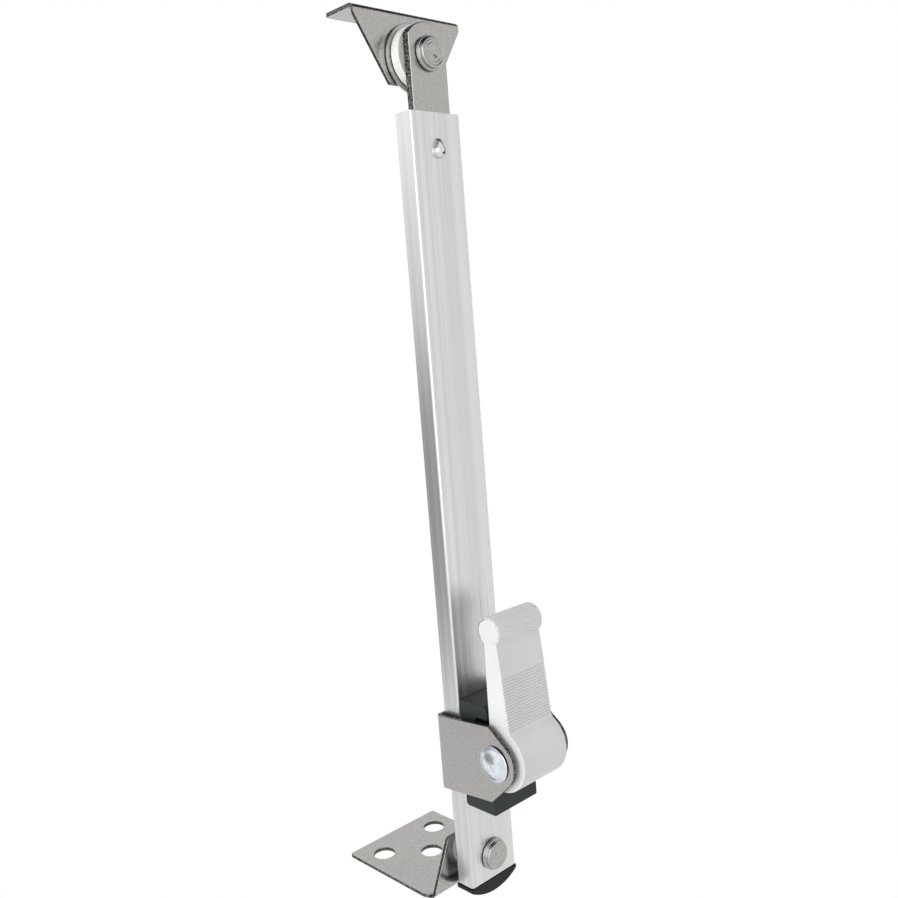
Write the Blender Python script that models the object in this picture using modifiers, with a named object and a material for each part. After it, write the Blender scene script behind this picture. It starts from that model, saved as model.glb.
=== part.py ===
"""Sliding friction stay for a window sash.

A flat steel bar slides inside a slotted aluminium channel. The clamp housing is riveted to the lower
end of the bar through the slot, and its cam lever presses a pad on the channel's front face. A folded
bracket turns on a rivet at each end.

Frame: X across the stay, -Y the front where the lever is, +Z up. The origin is on the underside of the
lower bracket, at the middle of its three screw holes.
"""
import math

import bpy
import bmesh
from mathutils import Matrix, Vector

MM = 0.001
GAP = 0.3 * MM  # between pieces that touch
SPARE = 3.0 * MM  # how far a cutter runs past what it cuts

# Channel and its pivot
CHANNEL_WIDTH = 25.0 * MM
CHANNEL_DEPTH = 8.8 * MM
CHANNEL_LENGTH = 300.8 * MM
CHANNEL_WALL = 1.1 * MM
CHANNEL_CORNER = 0.6 * MM
SLOT_WIDTH = 11.0 * MM
PIVOT_HEIGHT = 14.0 * MM  # mounting face to the lower pivot
PIVOT_INSET = 10.0 * MM  # channel's bottom end to the lower pivot
BAR_SHOWING = 20.9 * MM  # channel's top end to the upper pivot, closed

# Lug that stops the clamp
LUG_INSET = 7.9 * MM  # channel's top end to the lug's tip
LUG_HEIGHT = 8.8 * MM
LUG_WIDTH = 9.6 * MM
LUG_TIP_WIDTH = 1.0 * MM
LUG_RISE = 2.2 * MM
LUG_CORNER = 2.2 * MM
LUG_STUD = 3.0 * MM
LUG_STUD_RISE = 3.4 * MM  # lug's lower edge to its stud

# Folded brackets
SHEET = 1.5 * MM
LOWER_FOLD = 2.0 * MM  # outside of its fold
FLANGE_CORNER = 1.2 * MM
SCREW_HOLE = 9.2 * MM
LOWER_WIDTH = 48.6 * MM
LOWER_DEPTH = 52.8 * MM
LOWER_ABOVE_PIVOT = 8.0 * MM  # lower pivot to the plate's top edge
LOWER_TIP_WIDTH = 25.8 * MM
LOWER_TIP_CORNER = 1.8 * MM
LOWER_ROOT_WIDTH = 44.6 * MM
LOWER_SHOULDER = 4.7 * MM  # fold's front to the flange's full width
LOWER_SHOULDER_CORNER = 2.5 * MM
LOWER_HOLE_NEAR = 26.6 * MM  # from the fold's front
LOWER_HOLE_FAR = 41.2 * MM
LOWER_HOLE_SPREAD = 29.2 * MM
UPPER_WIDTH = 52.0 * MM
UPPER_DEPTH = 16.5 * MM
UPPER_FOLD = 2.6 * MM  # outside of its fold
UPPER_PIVOT_DROP = 17.2 * MM  # flange's top to the upper pivot
UPPER_BELOW_PIVOT = 9.8 * MM  # upper pivot to the plate's lower edge
UPPER_TIP_WIDTH = 22.8 * MM
UPPER_TIP_CORNER = 1.0 * MM
UPPER_SHOULDER = 3.6 * MM  # upright part of the plate's side
UPPER_SHOULDER_CORNER = 3.0 * MM
UPPER_HOLE = 4.6 * MM
UPPER_HOLE_SPREAD = 20.0 * MM

# Rivets, bushes and washer of the pivots
RIVET_SHANK = 6.0 * MM
RIVET_COLLAR = 12.6 * MM
RIVET_COLLAR_RISE = 1.1 * MM
RIVET_HEAD = 11.2 * MM
RIVET_HEAD_RISE = 1.7 * MM
RIVET_DIMPLE = 3.0 * MM
RIVET_CHAMFER = 0.4 * MM
RIVET_TAIL = 9.6 * MM
RIVET_TAIL_RISE = 1.5 * MM
TAIL_CROWN = 0.65  # width of a tail's crown to its own
LOWER_BUSH_FLANGE = 18.0 * MM
LOWER_BUSH_FLANGE_RISE = 2.4 * MM
UPPER_BUSH = 23.2 * MM
UPPER_BUSH_RISE = 4.0 * MM
UPPER_WASHER = 25.8 * MM
UPPER_WASHER_RISE = 1.0 * MM
RING_CHAMFER = 0.3 * MM

# Sliding bar with its carriage
BAR_WIDTH = 18.2 * MM
BAR_THICKNESS = 3.3 * MM
BAR_CROWN = 2.2 * MM  # top's radius over half the width
SHOE_HEIGHT = 10.0 * MM
SHOE_CORNER = 0.6 * MM
TONGUE_WIDTH = 10.0 * MM
TONGUE_LENGTH = 6.0 * MM
SPACER_MARGIN = 1.5 * MM  # housing's edge to the spacer's
SPACER_PLAY = 0.75 * MM  # each side, in the slot
SPACER_CORNER = 1.5 * MM
CARRIAGE_RIVET = 4.0 * MM
CARRIAGE_RIVET_HEAD = 7.0 * MM
CARRIAGE_RIVET_RISE = 0.9 * MM
CARRIAGE_RIVET_INSET = 6.0 * MM  # housing's edge to the rivet

# Clamp
CLAMP_RISE = 42.7 * MM  # channel's bottom end to the housing's lower edge, closed
PIN_RISE = 17.1 * MM  # housing's lower edge to the pin
PIN_DROP = 12.9 * MM  # housing's upper edge to the pin
PIN_REACH = 21.0 * MM  # channel's face to the pin
HOUSING_PLAY = 1.5 * MM  # each side of the channel
HOUSING_BEND = 2.5 * MM
CHEEK_RADIUS = 9.6 * MM
CHEEK_TOP_REACH = 18.8 * MM
CHEEK_TIP_REACH = 18.0 * MM
CHEEK_RISE = 1.0 * MM  # how far the cheeks' edges climb towards the front
CHEEK_DROP = 1.4 * MM  # and fall towards the back
PIN_SHANK = 6.0 * MM
PIN_HEAD = 13.8 * MM
PIN_HEAD_RISE = 2.6 * MM
PIN_DIMPLE = 1.2 * MM
PIN_DIMPLE_DEPTH = 0.3 * MM
PIN_TAIL = 11.0 * MM
PIN_TAIL_RISE = 1.5 * MM
PAD_INSET = 0.75 * MM  # each side of the channel's width
PAD_LOWER_OVERHANG = 7.2 * MM  # below the housing
PAD_UPPER_OVERHANG = 6.1 * MM  # above the housing
PAD_LOWER_REACH = 15.8 * MM
PAD_UPPER_REACH = 14.6 * MM
PAD_LOWER_PLAY = 2.7 * MM  # cam to the lower lip
PAD_UPPER_PLAY = 1.1 * MM  # cam to the upper lip
PAD_CORNER = 2.5 * MM
PAD_EDGE = 0.8 * MM

# Cam lever
LEVER_PLAY = 2.0 * MM  # each side, between the cheeks
CAM_RADIUS = 12.6 * MM
CAM_OFFSET = 0.7 * MM  # cam's centre behind the pin
ARM_BEHIND = 5.0 * MM  # pin to the arm's rear face
ARM_AHEAD_ROOT = 5.4 * MM
ARM_AHEAD_TIP = 2.1 * MM
GRIP_BEHIND = 1.7 * MM
GRIP_RISE = 49.4 * MM  # pin to the grip's centre
GRIP_RADIUS = 5.7 * MM
GRIP_FLUTES = 20
FLUTE_DEPTH = 0.25 * MM
GROOVE_START = 12.5 * MM  # pin to the lowest groove, unless the fillet reaches it
GROOVE_MARGIN = 13.3 * MM  # top groove to the grip, at least
GROOVE_PITCH = 1.13 * MM
GROOVE_WIDTH = 0.5 * MM
GROOVE_DEPTH = 0.3 * MM
ROOT_FILLET = 1.5 * MM

# End cap of the channel
CAP_EDGE = 1.6 * MM
CAP_RISE = 5.6 * MM
CAP_OVERHANG = 0.4 * MM
PLUG_PLAY = 0.8 * MM  # plug to the lower bush

# Places and sizes worked out from the others
HOUSING_WIDTH = CHANNEL_WIDTH + 2 * (HOUSING_PLAY + SHEET)
LEVER_WIDTH = HOUSING_WIDTH - 2 * (SHEET + LEVER_PLAY)
LOWER_HEIGHT = PIVOT_HEIGHT + LOWER_ABOVE_PIVOT
UPPER_HEIGHT = UPPER_PIVOT_DROP + UPPER_BELOW_PIVOT
BUSH_BODY = SLOT_WIDTH / 2 - GAP
PLATE_FRONT = -(LOWER_HOLE_NEAR + 2 * LOWER_HOLE_FAR) / 3
CHANNEL_BACK = PLATE_FRONT - LOWER_BUSH_FLANGE_RISE - 2 * GAP
CHANNEL_FRONT = CHANNEL_BACK - CHANNEL_DEPTH
CHANNEL_BOTTOM = PIVOT_HEIGHT - PIVOT_INSET
CHANNEL_TOP = CHANNEL_BOTTOM + CHANNEL_LENGTH
LUG_LOW = CHANNEL_TOP - LUG_INSET - LUG_HEIGHT
UPPER_PIVOT = CHANNEL_TOP + BAR_SHOWING
BAR_FRONT = CHANNEL_FRONT + CHANNEL_WALL + GAP
BAR_BACK = BAR_FRONT + BAR_THICKNESS
HOUSING_INNER_BACK = CHANNEL_BACK + GAP
HOUSING_BACK = HOUSING_INNER_BACK + SHEET
CLAMP_BOTTOM = CHANNEL_BOTTOM + CLAMP_RISE
PIN_Z = CLAMP_BOTTOM + PIN_RISE
CLAMP_TOP = PIN_Z + PIN_DROP
PIN_Y = CHANNEL_FRONT - PIN_REACH
UPPER_BUSH_FRONT = BAR_BACK + GAP
UPPER_WASHER_FRONT = UPPER_BUSH_FRONT + UPPER_BUSH_RISE + GAP
UPPER_PLATE_FRONT = UPPER_WASHER_FRONT + UPPER_WASHER_RISE + GAP
UPPER_FLANGE_TOP = UPPER_PIVOT + UPPER_PIVOT_DROP

SHARP_ANGLE = 32  # degrees, from which an edge is shaded sharp
ROUND_STEPS = 40
ARC_STEPS = 20
CORNER_STEPS = 5
SMALL_CORNER_STEPS = 3
FRONT_VIEW = Matrix.Rotation(math.pi / 2, 4, "X")  # outline in X and Z, thickness along Y
SIDE_VIEW = Matrix.Rotation(math.pi / 2, 4, "Z") @ FRONT_VIEW  # outline in Y and Z, thickness along X
PLAN_VIEW = Matrix.Identity(4)  # outline in X and Y, thickness along Z
FACING_FRONT = Matrix.Rotation(math.pi / 2, 4, "X")  # turned piece whose top faces -Y
FACING_LEFT = Matrix.Rotation(-math.pi / 2, 4, "Y")  # turned piece whose top faces -X


# ---------------------------------------------------------------- scene

def new_collection(name):
    collection = bpy.data.collections.new(name)
    bpy.context.scene.collection.children.link(collection)
    return collection


for old in list(bpy.data.objects):
    bpy.data.objects.remove(old, do_unlink=True)
PARTS = new_collection("window_stay")
CUTTERS = new_collection("cutters")


def material(name, colour, roughness, metallic):
    made = bpy.data.materials.new(name)
    made.use_nodes = True
    shader = made.node_tree.nodes["Principled BSDF"]
    shader.inputs["Base Color"].default_value = (*colour, 1.0)
    shader.inputs["Roughness"].default_value = roughness
    shader.inputs["Metallic"].default_value = metallic
    return made


def axis_empty(name, location):
    empty = bpy.data.objects.new(name, None)
    empty.location = location
    empty.empty_display_size = 0.01
    PARTS.objects.link(empty)
    return empty


def finish(piece, look, axis):
    """Gives a piece its material and hangs it on the empty that marks its joint's axis."""
    piece.data.materials.append(look)
    piece.data.shade_smooth()
    piece.data.set_sharp_from_angle(angle=math.radians(SHARP_ANGLE))
    piece.parent = axis
    piece.matrix_parent_inverse = Matrix.Translation(axis.location).inverted()
    return piece


# ---------------------------------------------------------------- outlines

def arc(centre, radius, start, stop, steps=ARC_STEPS):
    """Points from the angle start to stop, in degrees."""
    angles = [math.radians(start + (stop - start) * i / steps) for i in range(steps + 1)]
    return [(centre[0] + radius * math.cos(a), centre[1] + radius * math.sin(a)) for a in angles]


def rounded(corners, steps=CORNER_STEPS):
    """Outline through corners given as (x, y, radius)."""
    points = []
    for i, (x, y, radius) in enumerate(corners):
        corner = Vector((x, y))
        if radius == 0:
            points.append((x, y))
            continue
        before = (Vector(corners[i - 1][:2]) - corner).normalized()
        after = (Vector(corners[(i + 1) % len(corners)][:2]) - corner).normalized()
        half = before.angle(after) / 2
        centre = corner + (before + after).normalized() * radius / math.sin(half)
        first = corner + before * radius / math.tan(half) - centre
        last = corner + after * radius / math.tan(half) - centre
        turn = first.angle_signed(last)
        for step in range(steps + 1):
            swung = Matrix.Rotation(-turn * step / steps, 2) @ first
            points.append(tuple(centre + swung))
    return points


def box_outline(left, low, right, high, radius=0):
    """Corners of an upright rectangle, for rounded()."""
    return [(left, low, radius), (right, low, radius), (right, high, radius), (left, high, radius)]


def tangent_angle(point, centre, radius, side):
    """Angle, in degrees, of the spot on a circle where the line from a point touches it."""
    dx = point[0] - centre[0]
    dy = point[1] - centre[1]
    towards = math.degrees(math.atan2(dy, dx))
    return towards + side * math.degrees(math.acos(radius / math.hypot(dx, dy)))


def mesh_of(curve_object):
    """Mesh object with the shape of a curve object, which it replaces."""
    graph = bpy.context.evaluated_depsgraph_get()
    mesh = bpy.data.meshes.new_from_object(curve_object.evaluated_get(graph))
    shape = bmesh.new()
    shape.from_mesh(mesh)
    bmesh.ops.remove_doubles(shape, verts=shape.verts, dist=1e-6)
    bmesh.ops.recalc_face_normals(shape, faces=shape.faces)
    shape.to_mesh(mesh)
    shape.free()
    return mesh


def slab(name, outline, low, high, view, collection=PARTS):
    """Closed outline made solid between two places along the view's own direction."""
    curve = bpy.data.curves.new(name, "CURVE")
    curve.dimensions = "2D"
    curve.fill_mode = "BOTH"
    curve.extrude = (high - low) / 2
    spline = curve.splines.new("POLY")
    spline.points.add(len(outline) - 1)
    for point, (x, y) in zip(spline.points, outline):
        point.co = (x, y, 0, 1)
    spline.use_cyclic_u = True
    drawn = bpy.data.objects.new(name + "_outline", curve)
    collection.objects.link(drawn)
    mesh = mesh_of(drawn)
    bpy.data.objects.remove(drawn, do_unlink=True)
    bpy.data.curves.remove(curve)
    middle = (low + high) / 2
    # The front view's own direction is -Y.
    along = -middle if view is FRONT_VIEW else middle
    mesh.transform(view @ Matrix.Translation((0, 0, along)))
    made = bpy.data.objects.new(name, mesh)
    collection.objects.link(made)
    return made


def turned(name, profile, place, facing, hollow=False, collection=PARTS):
    """Piece turned about its own Z from (radius, height) points that run down its outer side."""
    mesh = bpy.data.meshes.new(name)
    shape = bmesh.new()
    points = [shape.verts.new((radius, 0, height)) for radius, height in profile]
    for first, second in zip(points, points[1:]):
        shape.edges.new((first, second))
    if hollow:
        shape.edges.new((points[-1], points[0]))
    shape.to_mesh(mesh)
    shape.free()
    made = bpy.data.objects.new(name, mesh)
    made.matrix_world = Matrix.Translation(place) @ facing
    collection.objects.link(made)
    screw = made.modifiers.new("turn", "SCREW")
    screw.axis = "Z"
    screw.steps = ROUND_STEPS
    screw.render_steps = ROUND_STEPS
    screw.use_merge_vertices = True
    screw.merge_threshold = 1e-5
    screw.use_smooth_shade = True
    return made


def drill(name, diameter, low, high, place, facing):
    """Round cutter along its own Z from low to high."""
    profile = [(0, high), (diameter / 2, high), (diameter / 2, low), (0, low)]
    return turned(name, profile, place, facing, collection=CUTTERS)


def combine(piece, other, operation):
    other.hide_render = True
    other.display_type = "WIRE"
    if other.name not in CUTTERS.objects:
        PARTS.objects.unlink(other)
        CUTTERS.objects.link(other)
    change = piece.modifiers.new(other.name, "BOOLEAN")
    change.operation = operation
    change.solver = "EXACT"
    change.object = other


def cut(piece, *cutters):
    for cutter in cutters:
        combine(piece, cutter, "DIFFERENCE")


def trim(piece, *outlines):
    for outline in outlines:
        combine(piece, outline, "INTERSECT")


def join(piece, *others):
    for other in others:
        combine(piece, other, "UNION")


# ---------------------------------------------------------------- brackets

def folded_sheet(name, up, fold_y, fold_z, size, radius):
    """L of sheet: a flange that runs back from the fold, and a plate that rises (up=1) or hangs (up=-1)."""
    width, depth, height = size
    inner = radius - SHEET
    corners = [
        (fold_y, fold_z, radius),
        (fold_y + depth, fold_z, 0),
        (fold_y + depth, fold_z + up * SHEET, 0),
        (fold_y + SHEET, fold_z + up * SHEET, inner),
        (fold_y + SHEET, fold_z + up * height, 0),
        (fold_y, fold_z + up * height, 0),
    ]
    return slab(name, rounded(corners), -width / 2, width / 2, SIDE_VIEW)


def lower_bracket():
    root = LOWER_ROOT_WIDTH / 2
    tip = LOWER_TIP_WIDTH / 2
    side = LOWER_WIDTH / 2
    back = PLATE_FRONT + LOWER_DEPTH
    shoulder = PLATE_FRONT + LOWER_SHOULDER
    size = (LOWER_WIDTH, LOWER_DEPTH, LOWER_HEIGHT)
    bracket = folded_sheet("lower_bracket", 1, PLATE_FRONT, 0, size, LOWER_FOLD)
    front = rounded([
        (-side - SPARE, -SPARE, 0),
        (side + SPARE, -SPARE, 0),
        (side + SPARE, SHEET, 0),
        (root, SHEET, 0),
        (tip, LOWER_HEIGHT, LOWER_TIP_CORNER),
        (-tip, LOWER_HEIGHT, LOWER_TIP_CORNER),
        (-root, SHEET, 0),
        (-side - SPARE, SHEET, 0),
    ])
    plan = rounded([
        (-root, PLATE_FRONT, 0),
        (root, PLATE_FRONT, 0),
        (side, shoulder, LOWER_SHOULDER_CORNER),
        (side, back, FLANGE_CORNER),
        (-side, back, FLANGE_CORNER),
        (-side, shoulder, LOWER_SHOULDER_CORNER),
    ])
    trim(
        bracket,
        slab("lower_front_trim", front, PLATE_FRONT - SPARE, back + SPARE, FRONT_VIEW, CUTTERS),
        slab("lower_plan_trim", plan, -SPARE, LOWER_HEIGHT + SPARE, PLAN_VIEW, CUTTERS),
    )
    apart = LOWER_HOLE_SPREAD / 2
    holes = [(0, LOWER_HOLE_NEAR), (-apart, LOWER_HOLE_FAR), (apart, LOWER_HOLE_FAR)]
    for number, (x, from_fold) in enumerate(holes, 1):
        place = (x, PLATE_FRONT + from_fold, 0)
        cut(bracket, drill(f"lower_screw_{number}", SCREW_HOLE, -SPARE, SHEET + SPARE, place, PLAN_VIEW))
    place = (0, PLATE_FRONT, PIVOT_HEIGHT)
    hole = RIVET_SHANK + 2 * GAP
    cut(bracket, drill("lower_pivot_hole", hole, -SHEET - SPARE, SPARE, place, FACING_FRONT))
    return bracket


def upper_bracket():
    side = UPPER_WIDTH / 2
    tip = UPPER_TIP_WIDTH / 2
    top = UPPER_FLANGE_TOP
    low = top - UPPER_HEIGHT
    front_y = UPPER_PLATE_FRONT
    back = front_y + UPPER_DEPTH
    size = (UPPER_WIDTH, UPPER_DEPTH, UPPER_HEIGHT)
    bracket = folded_sheet("upper_bracket", -1, front_y, top, size, UPPER_FOLD)
    front = rounded([
        (-side, top + SPARE, 0),
        (side, top + SPARE, 0),
        (side, top - UPPER_SHOULDER, UPPER_SHOULDER_CORNER),
        (tip, low, UPPER_TIP_CORNER),
        (-tip, low, UPPER_TIP_CORNER),
        (-side, top - UPPER_SHOULDER, UPPER_SHOULDER_CORNER),
    ])
    plan = rounded([
        (-side, front_y - SPARE, 0),
        (side, front_y - SPARE, 0),
        (side, back, FLANGE_CORNER),
        (-side, back, FLANGE_CORNER),
    ])
    trim(
        bracket,
        slab("upper_front_trim", front, front_y - SPARE, back + SPARE, FRONT_VIEW, CUTTERS),
        slab("upper_plan_trim", plan, low - SPARE, top + SPARE, PLAN_VIEW, CUTTERS),
    )
    for number, x in enumerate((-UPPER_HOLE_SPREAD / 2, UPPER_HOLE_SPREAD / 2), 1):
        place = (x, front_y + (UPPER_DEPTH + SHEET) / 2, top)
        cut(bracket, drill(f"upper_screw_{number}", UPPER_HOLE, -SHEET - SPARE, SPARE, place, PLAN_VIEW))
    place = (0, front_y, UPPER_PIVOT)
    hole = RIVET_SHANK + 2 * GAP
    cut(bracket, drill("upper_pivot_hole", hole, -SHEET - SPARE, SPARE, place, FACING_FRONT))
    return bracket


# ---------------------------------------------------------------- pivots

def tail_profile(radius, seat, rise):
    """Low crowned tail under its seat."""
    crown = radius * TAIL_CROWN
    return [(radius, seat), (radius, seat - rise / 2), (crown, seat - rise), (0, seat - rise)]


def pivot_rivet(name, head_y, tail_y, height):
    """Rivet with a stepped, dimpled head against head_y and a low tail against tail_y."""
    shank = RIVET_SHANK / 2
    collar = RIVET_COLLAR / 2
    head = RIVET_HEAD / 2
    dimple = RIVET_DIMPLE / 2
    step = GAP + RIVET_COLLAR_RISE
    top = step + RIVET_HEAD_RISE
    far = head_y - tail_y - GAP
    profile = [
        (0, top - RIVET_CHAMFER),
        (dimple - RIVET_CHAMFER, top - RIVET_CHAMFER),
        (dimple, top),
        (head - RIVET_CHAMFER, top),
        (head, top - RIVET_CHAMFER),
        (head, step),
        (collar - RIVET_CHAMFER, step),
        (collar, step - RIVET_CHAMFER),
        (collar, GAP),
        (shank, GAP),
        (shank, far),
    ]
    profile += tail_profile(RIVET_TAIL / 2, far, RIVET_TAIL_RISE)
    return turned(name, profile, (0, head_y, height), FACING_FRONT)


def ring(name, outer, front, rise, height):
    """Flat ring round a pivot rivet."""
    inner = RIVET_SHANK / 2 + GAP
    face = outer / 2 - RING_CHAMFER
    profile = [
        (inner, 0),
        (face, 0),
        (outer / 2, -RING_CHAMFER),
        (outer / 2, RING_CHAMFER - rise),
        (face, -rise),
        (inner, -rise),
    ]
    return turned(name, profile, (0, front, height), FACING_FRONT, hollow=True)


def lower_bush():
    """Bush that fills the channel's depth at the pivot, with a flange behind the channel."""
    inner = RIVET_SHANK / 2 + GAP
    flange = LOWER_BUSH_FLANGE / 2
    front = CHANNEL_FRONT + CHANNEL_WALL + GAP
    step = front - CHANNEL_BACK - GAP
    foot = step - LOWER_BUSH_FLANGE_RISE
    profile = [(inner, 0), (BUSH_BODY, 0), (BUSH_BODY, step), (flange, step), (flange, foot), (inner, foot)]
    return turned("lower_bush", profile, (0, front, PIVOT_HEIGHT), FACING_FRONT, hollow=True)


# ---------------------------------------------------------------- channel

def channel():
    """C-section with its slot at the back, and holes for the pivot and the lug's stud."""
    side = CHANNEL_WIDTH / 2
    lip = SLOT_WIDTH / 2
    inner = side - CHANNEL_WALL
    inner_back = CHANNEL_BACK - CHANNEL_WALL
    inner_front = CHANNEL_FRONT + CHANNEL_WALL
    section = rounded([
        (lip, CHANNEL_BACK, 0),
        (side, CHANNEL_BACK, CHANNEL_CORNER),
        (side, CHANNEL_FRONT, CHANNEL_CORNER),
        (-side, CHANNEL_FRONT, CHANNEL_CORNER),
        (-side, CHANNEL_BACK, CHANNEL_CORNER),
        (-lip, CHANNEL_BACK, 0),
        (-lip, inner_back, 0),
        (-inner, inner_back, 0),
        (-inner, inner_front, 0),
        (inner, inner_front, 0),
        (inner, inner_back, 0),
        (lip, inner_back, 0),
    ], steps=SMALL_CORNER_STEPS)
    body = slab("channel", section, CHANNEL_BOTTOM, CHANNEL_TOP, PLAN_VIEW)
    stud_height = LUG_LOW + LUG_STUD_RISE
    holes = [("channel_pivot_hole", RIVET_SHANK, PIVOT_HEIGHT), ("lug_hole", LUG_STUD, stud_height)]
    for name, shank, height in holes:
        place = (0, CHANNEL_FRONT, height)
        cut(body, drill(name, shank + 2 * GAP, -CHANNEL_WALL - SPARE, SPARE, place, FACING_FRONT))
    return body


def stop_lug():
    """Half cone with its point up on the channel's face, held by a stud that ends flush in the wall."""
    cone = bmesh.new()
    bmesh.ops.create_cone(
        cone,
        cap_ends=True,
        segments=ROUND_STEPS,
        radius1=LUG_WIDTH / 2,
        radius2=LUG_TIP_WIDTH / 2,
        depth=LUG_HEIGHT,
    )
    flatten = Matrix.Diagonal((1, 2 * LUG_RISE / LUG_WIDTH, 1, 1))
    cone.transform(Matrix.Translation((0, CHANNEL_FRONT - GAP, LUG_LOW + LUG_HEIGHT / 2)) @ flatten)
    mesh = bpy.data.meshes.new("stop_lug")
    cone.to_mesh(mesh)
    cone.free()
    lug = bpy.data.objects.new("stop_lug", mesh)
    PARTS.objects.link(lug)
    half = LUG_WIDTH / 2
    top = LUG_LOW + LUG_HEIGHT + SPARE
    outline = rounded([
        (-half, LUG_LOW, LUG_CORNER),
        (half, LUG_LOW, LUG_CORNER),
        (half, top, 0),
        (-half, top, 0),
    ])
    front = CHANNEL_FRONT - LUG_RISE - SPARE
    trim(lug, slab("stop_lug_front", outline, front, CHANNEL_FRONT - GAP, FRONT_VIEW, CUTTERS))
    place = (0, CHANNEL_FRONT, LUG_LOW + LUG_STUD_RISE)
    join(lug, drill("stop_lug_stud", LUG_STUD, -CHANNEL_WALL, LUG_RISE / 2, place, FACING_FRONT))
    return lug


def end_cap():
    """Plastic plug with a curved foot that lets the channel swing on its pivot."""
    side = CHANNEL_WIDTH / 2 + CAP_OVERHANG
    top = CHANNEL_BOTTOM - GAP
    edge = top - CAP_EDGE
    sag = CAP_RISE - CAP_EDGE
    radius = (side * side + sag * sag) / (2 * sag)
    half_angle = math.degrees(math.asin(side / radius))
    foot = [(side, top), (-side, top)]
    foot += arc((0, edge - sag + radius), radius, -90 - half_angle, -90 + half_angle)
    cap = slab("end_cap", foot, CHANNEL_FRONT, CHANNEL_BACK, FRONT_VIEW)
    fit = CHANNEL_WALL + GAP
    inner = CHANNEL_WIDTH / 2 - fit
    block = rounded(box_outline(-inner, CHANNEL_FRONT + fit, inner, CHANNEL_BACK - fit))
    plug_top = PIVOT_HEIGHT - BUSH_BODY - PLUG_PLAY
    join(cap, slab("end_cap_plug", block, edge, plug_top, PLAN_VIEW, CUTTERS))
    return cap


# ---------------------------------------------------------------- sliding bar and carriage

def carriage_rivet_places():
    return [CLAMP_BOTTOM + CARRIAGE_RIVET_INSET, CLAMP_TOP - CARRIAGE_RIVET_INSET]


def drill_for_carriage(piece, front_y, back_y):
    """Holes for the carriage rivets through a piece between two places along Y."""
    hole = CARRIAGE_RIVET + 2 * GAP
    far = front_y - back_y - SPARE
    for number, height in enumerate(carriage_rivet_places(), 1):
        name = f"{piece.name}_rivet_hole_{number}"
        cut(piece, drill(name, hole, far, SPARE, (0, front_y, height), FACING_FRONT))


def slide_bar():
    """Flat bar with a rounded top, a tongue at its foot, and recessed holes for the carriage rivets."""
    side = BAR_WIDTH / 2
    tongue = TONGUE_WIDTH / 2
    foot = CLAMP_BOTTOM - TONGUE_LENGTH
    top_radius = side + BAR_CROWN
    shoulder = math.degrees(math.acos(side / top_radius))
    outline = [(-side, foot), (side, foot)]
    outline += arc((0, UPPER_PIVOT), top_radius, shoulder, 180 - shoulder)
    bar = slab("slide_bar", outline, BAR_FRONT, BAR_BACK, FRONT_VIEW)
    for number, sign in enumerate((-1, 1), 1):
        edges = sorted((sign * tongue, sign * (side + SPARE)))
        notch = rounded(box_outline(edges[0], foot - SPARE, edges[1], CLAMP_BOTTOM))
        name = f"bar_notch_{number}"
        cut(bar, slab(name, notch, BAR_FRONT - SPARE, BAR_BACK + SPARE, FRONT_VIEW, CUTTERS))
    far = -BAR_THICKNESS - SPARE
    hole = RIVET_SHANK + 2 * GAP
    cut(bar, drill("bar_pivot_hole", hole, far, SPARE, (0, BAR_FRONT, UPPER_PIVOT), FACING_FRONT))
    recess = -CARRIAGE_RIVET_RISE - 2 * GAP
    wide = CARRIAGE_RIVET_HEAD / 2 + GAP
    narrow = CARRIAGE_RIVET / 2 + GAP
    stepped = [(0, SPARE), (wide, SPARE), (wide, recess), (narrow, recess), (narrow, far), (0, far)]
    for number, height in enumerate(carriage_rivet_places(), 1):
        place = (0, BAR_FRONT, height)
        cut(bar, turned(f"bar_rivet_hole_{number}", stepped, place, FACING_FRONT, collection=CUTTERS))
    return bar


def guide_shoe():
    """Plastic shoe on the bar's lower end that keeps it straight in the channel."""
    side = CHANNEL_WIDTH / 2 - CHANNEL_WALL - GAP
    back = CHANNEL_BACK - CHANNEL_WALL - GAP
    top = CLAMP_BOTTOM - GAP
    block = rounded(box_outline(-side, BAR_FRONT, side, back, SHOE_CORNER), steps=SMALL_CORNER_STEPS)
    shoe = slab("guide_shoe", block, top - SHOE_HEIGHT, top, PLAN_VIEW)
    tongue = TONGUE_WIDTH / 2 + GAP
    pocket = rounded(box_outline(-tongue, BAR_FRONT - SPARE, tongue, BAR_BACK + GAP))
    floor = CLAMP_BOTTOM - TONGUE_LENGTH - GAP
    cut(shoe, slab("guide_shoe_pocket", pocket, floor, top + SPARE, PLAN_VIEW, CUTTERS))
    return shoe


def carriage_spacer():
    """Steel block in the channel's slot, between the bar and the housing."""
    side = SLOT_WIDTH / 2 - SPACER_PLAY
    low = CLAMP_BOTTOM + SPACER_MARGIN
    high = CLAMP_TOP - SPACER_MARGIN
    front = BAR_BACK + GAP
    back = HOUSING_INNER_BACK - GAP
    outline = rounded(box_outline(-side, low, side, high, SPACER_CORNER))
    spacer = slab("carriage_spacer", outline, front, back, FRONT_VIEW)
    drill_for_carriage(spacer, front, back)
    return spacer


def carriage_rivet(number, height):
    """Rivet from a recess in the bar to the back of the housing."""
    shank = CARRIAGE_RIVET / 2
    head = CARRIAGE_RIVET_HEAD / 2
    top = -GAP
    under = top - CARRIAGE_RIVET_RISE
    far = BAR_FRONT - HOUSING_BACK - GAP
    profile = [(0, top), (head, top), (head, under), (shank, under), (shank, far)]
    profile += tail_profile(head, far, CARRIAGE_RIVET_RISE)
    return turned(f"carriage_rivet_{number}", profile, (0, BAR_FRONT, height), FACING_FRONT)


# ---------------------------------------------------------------- clamp

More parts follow.
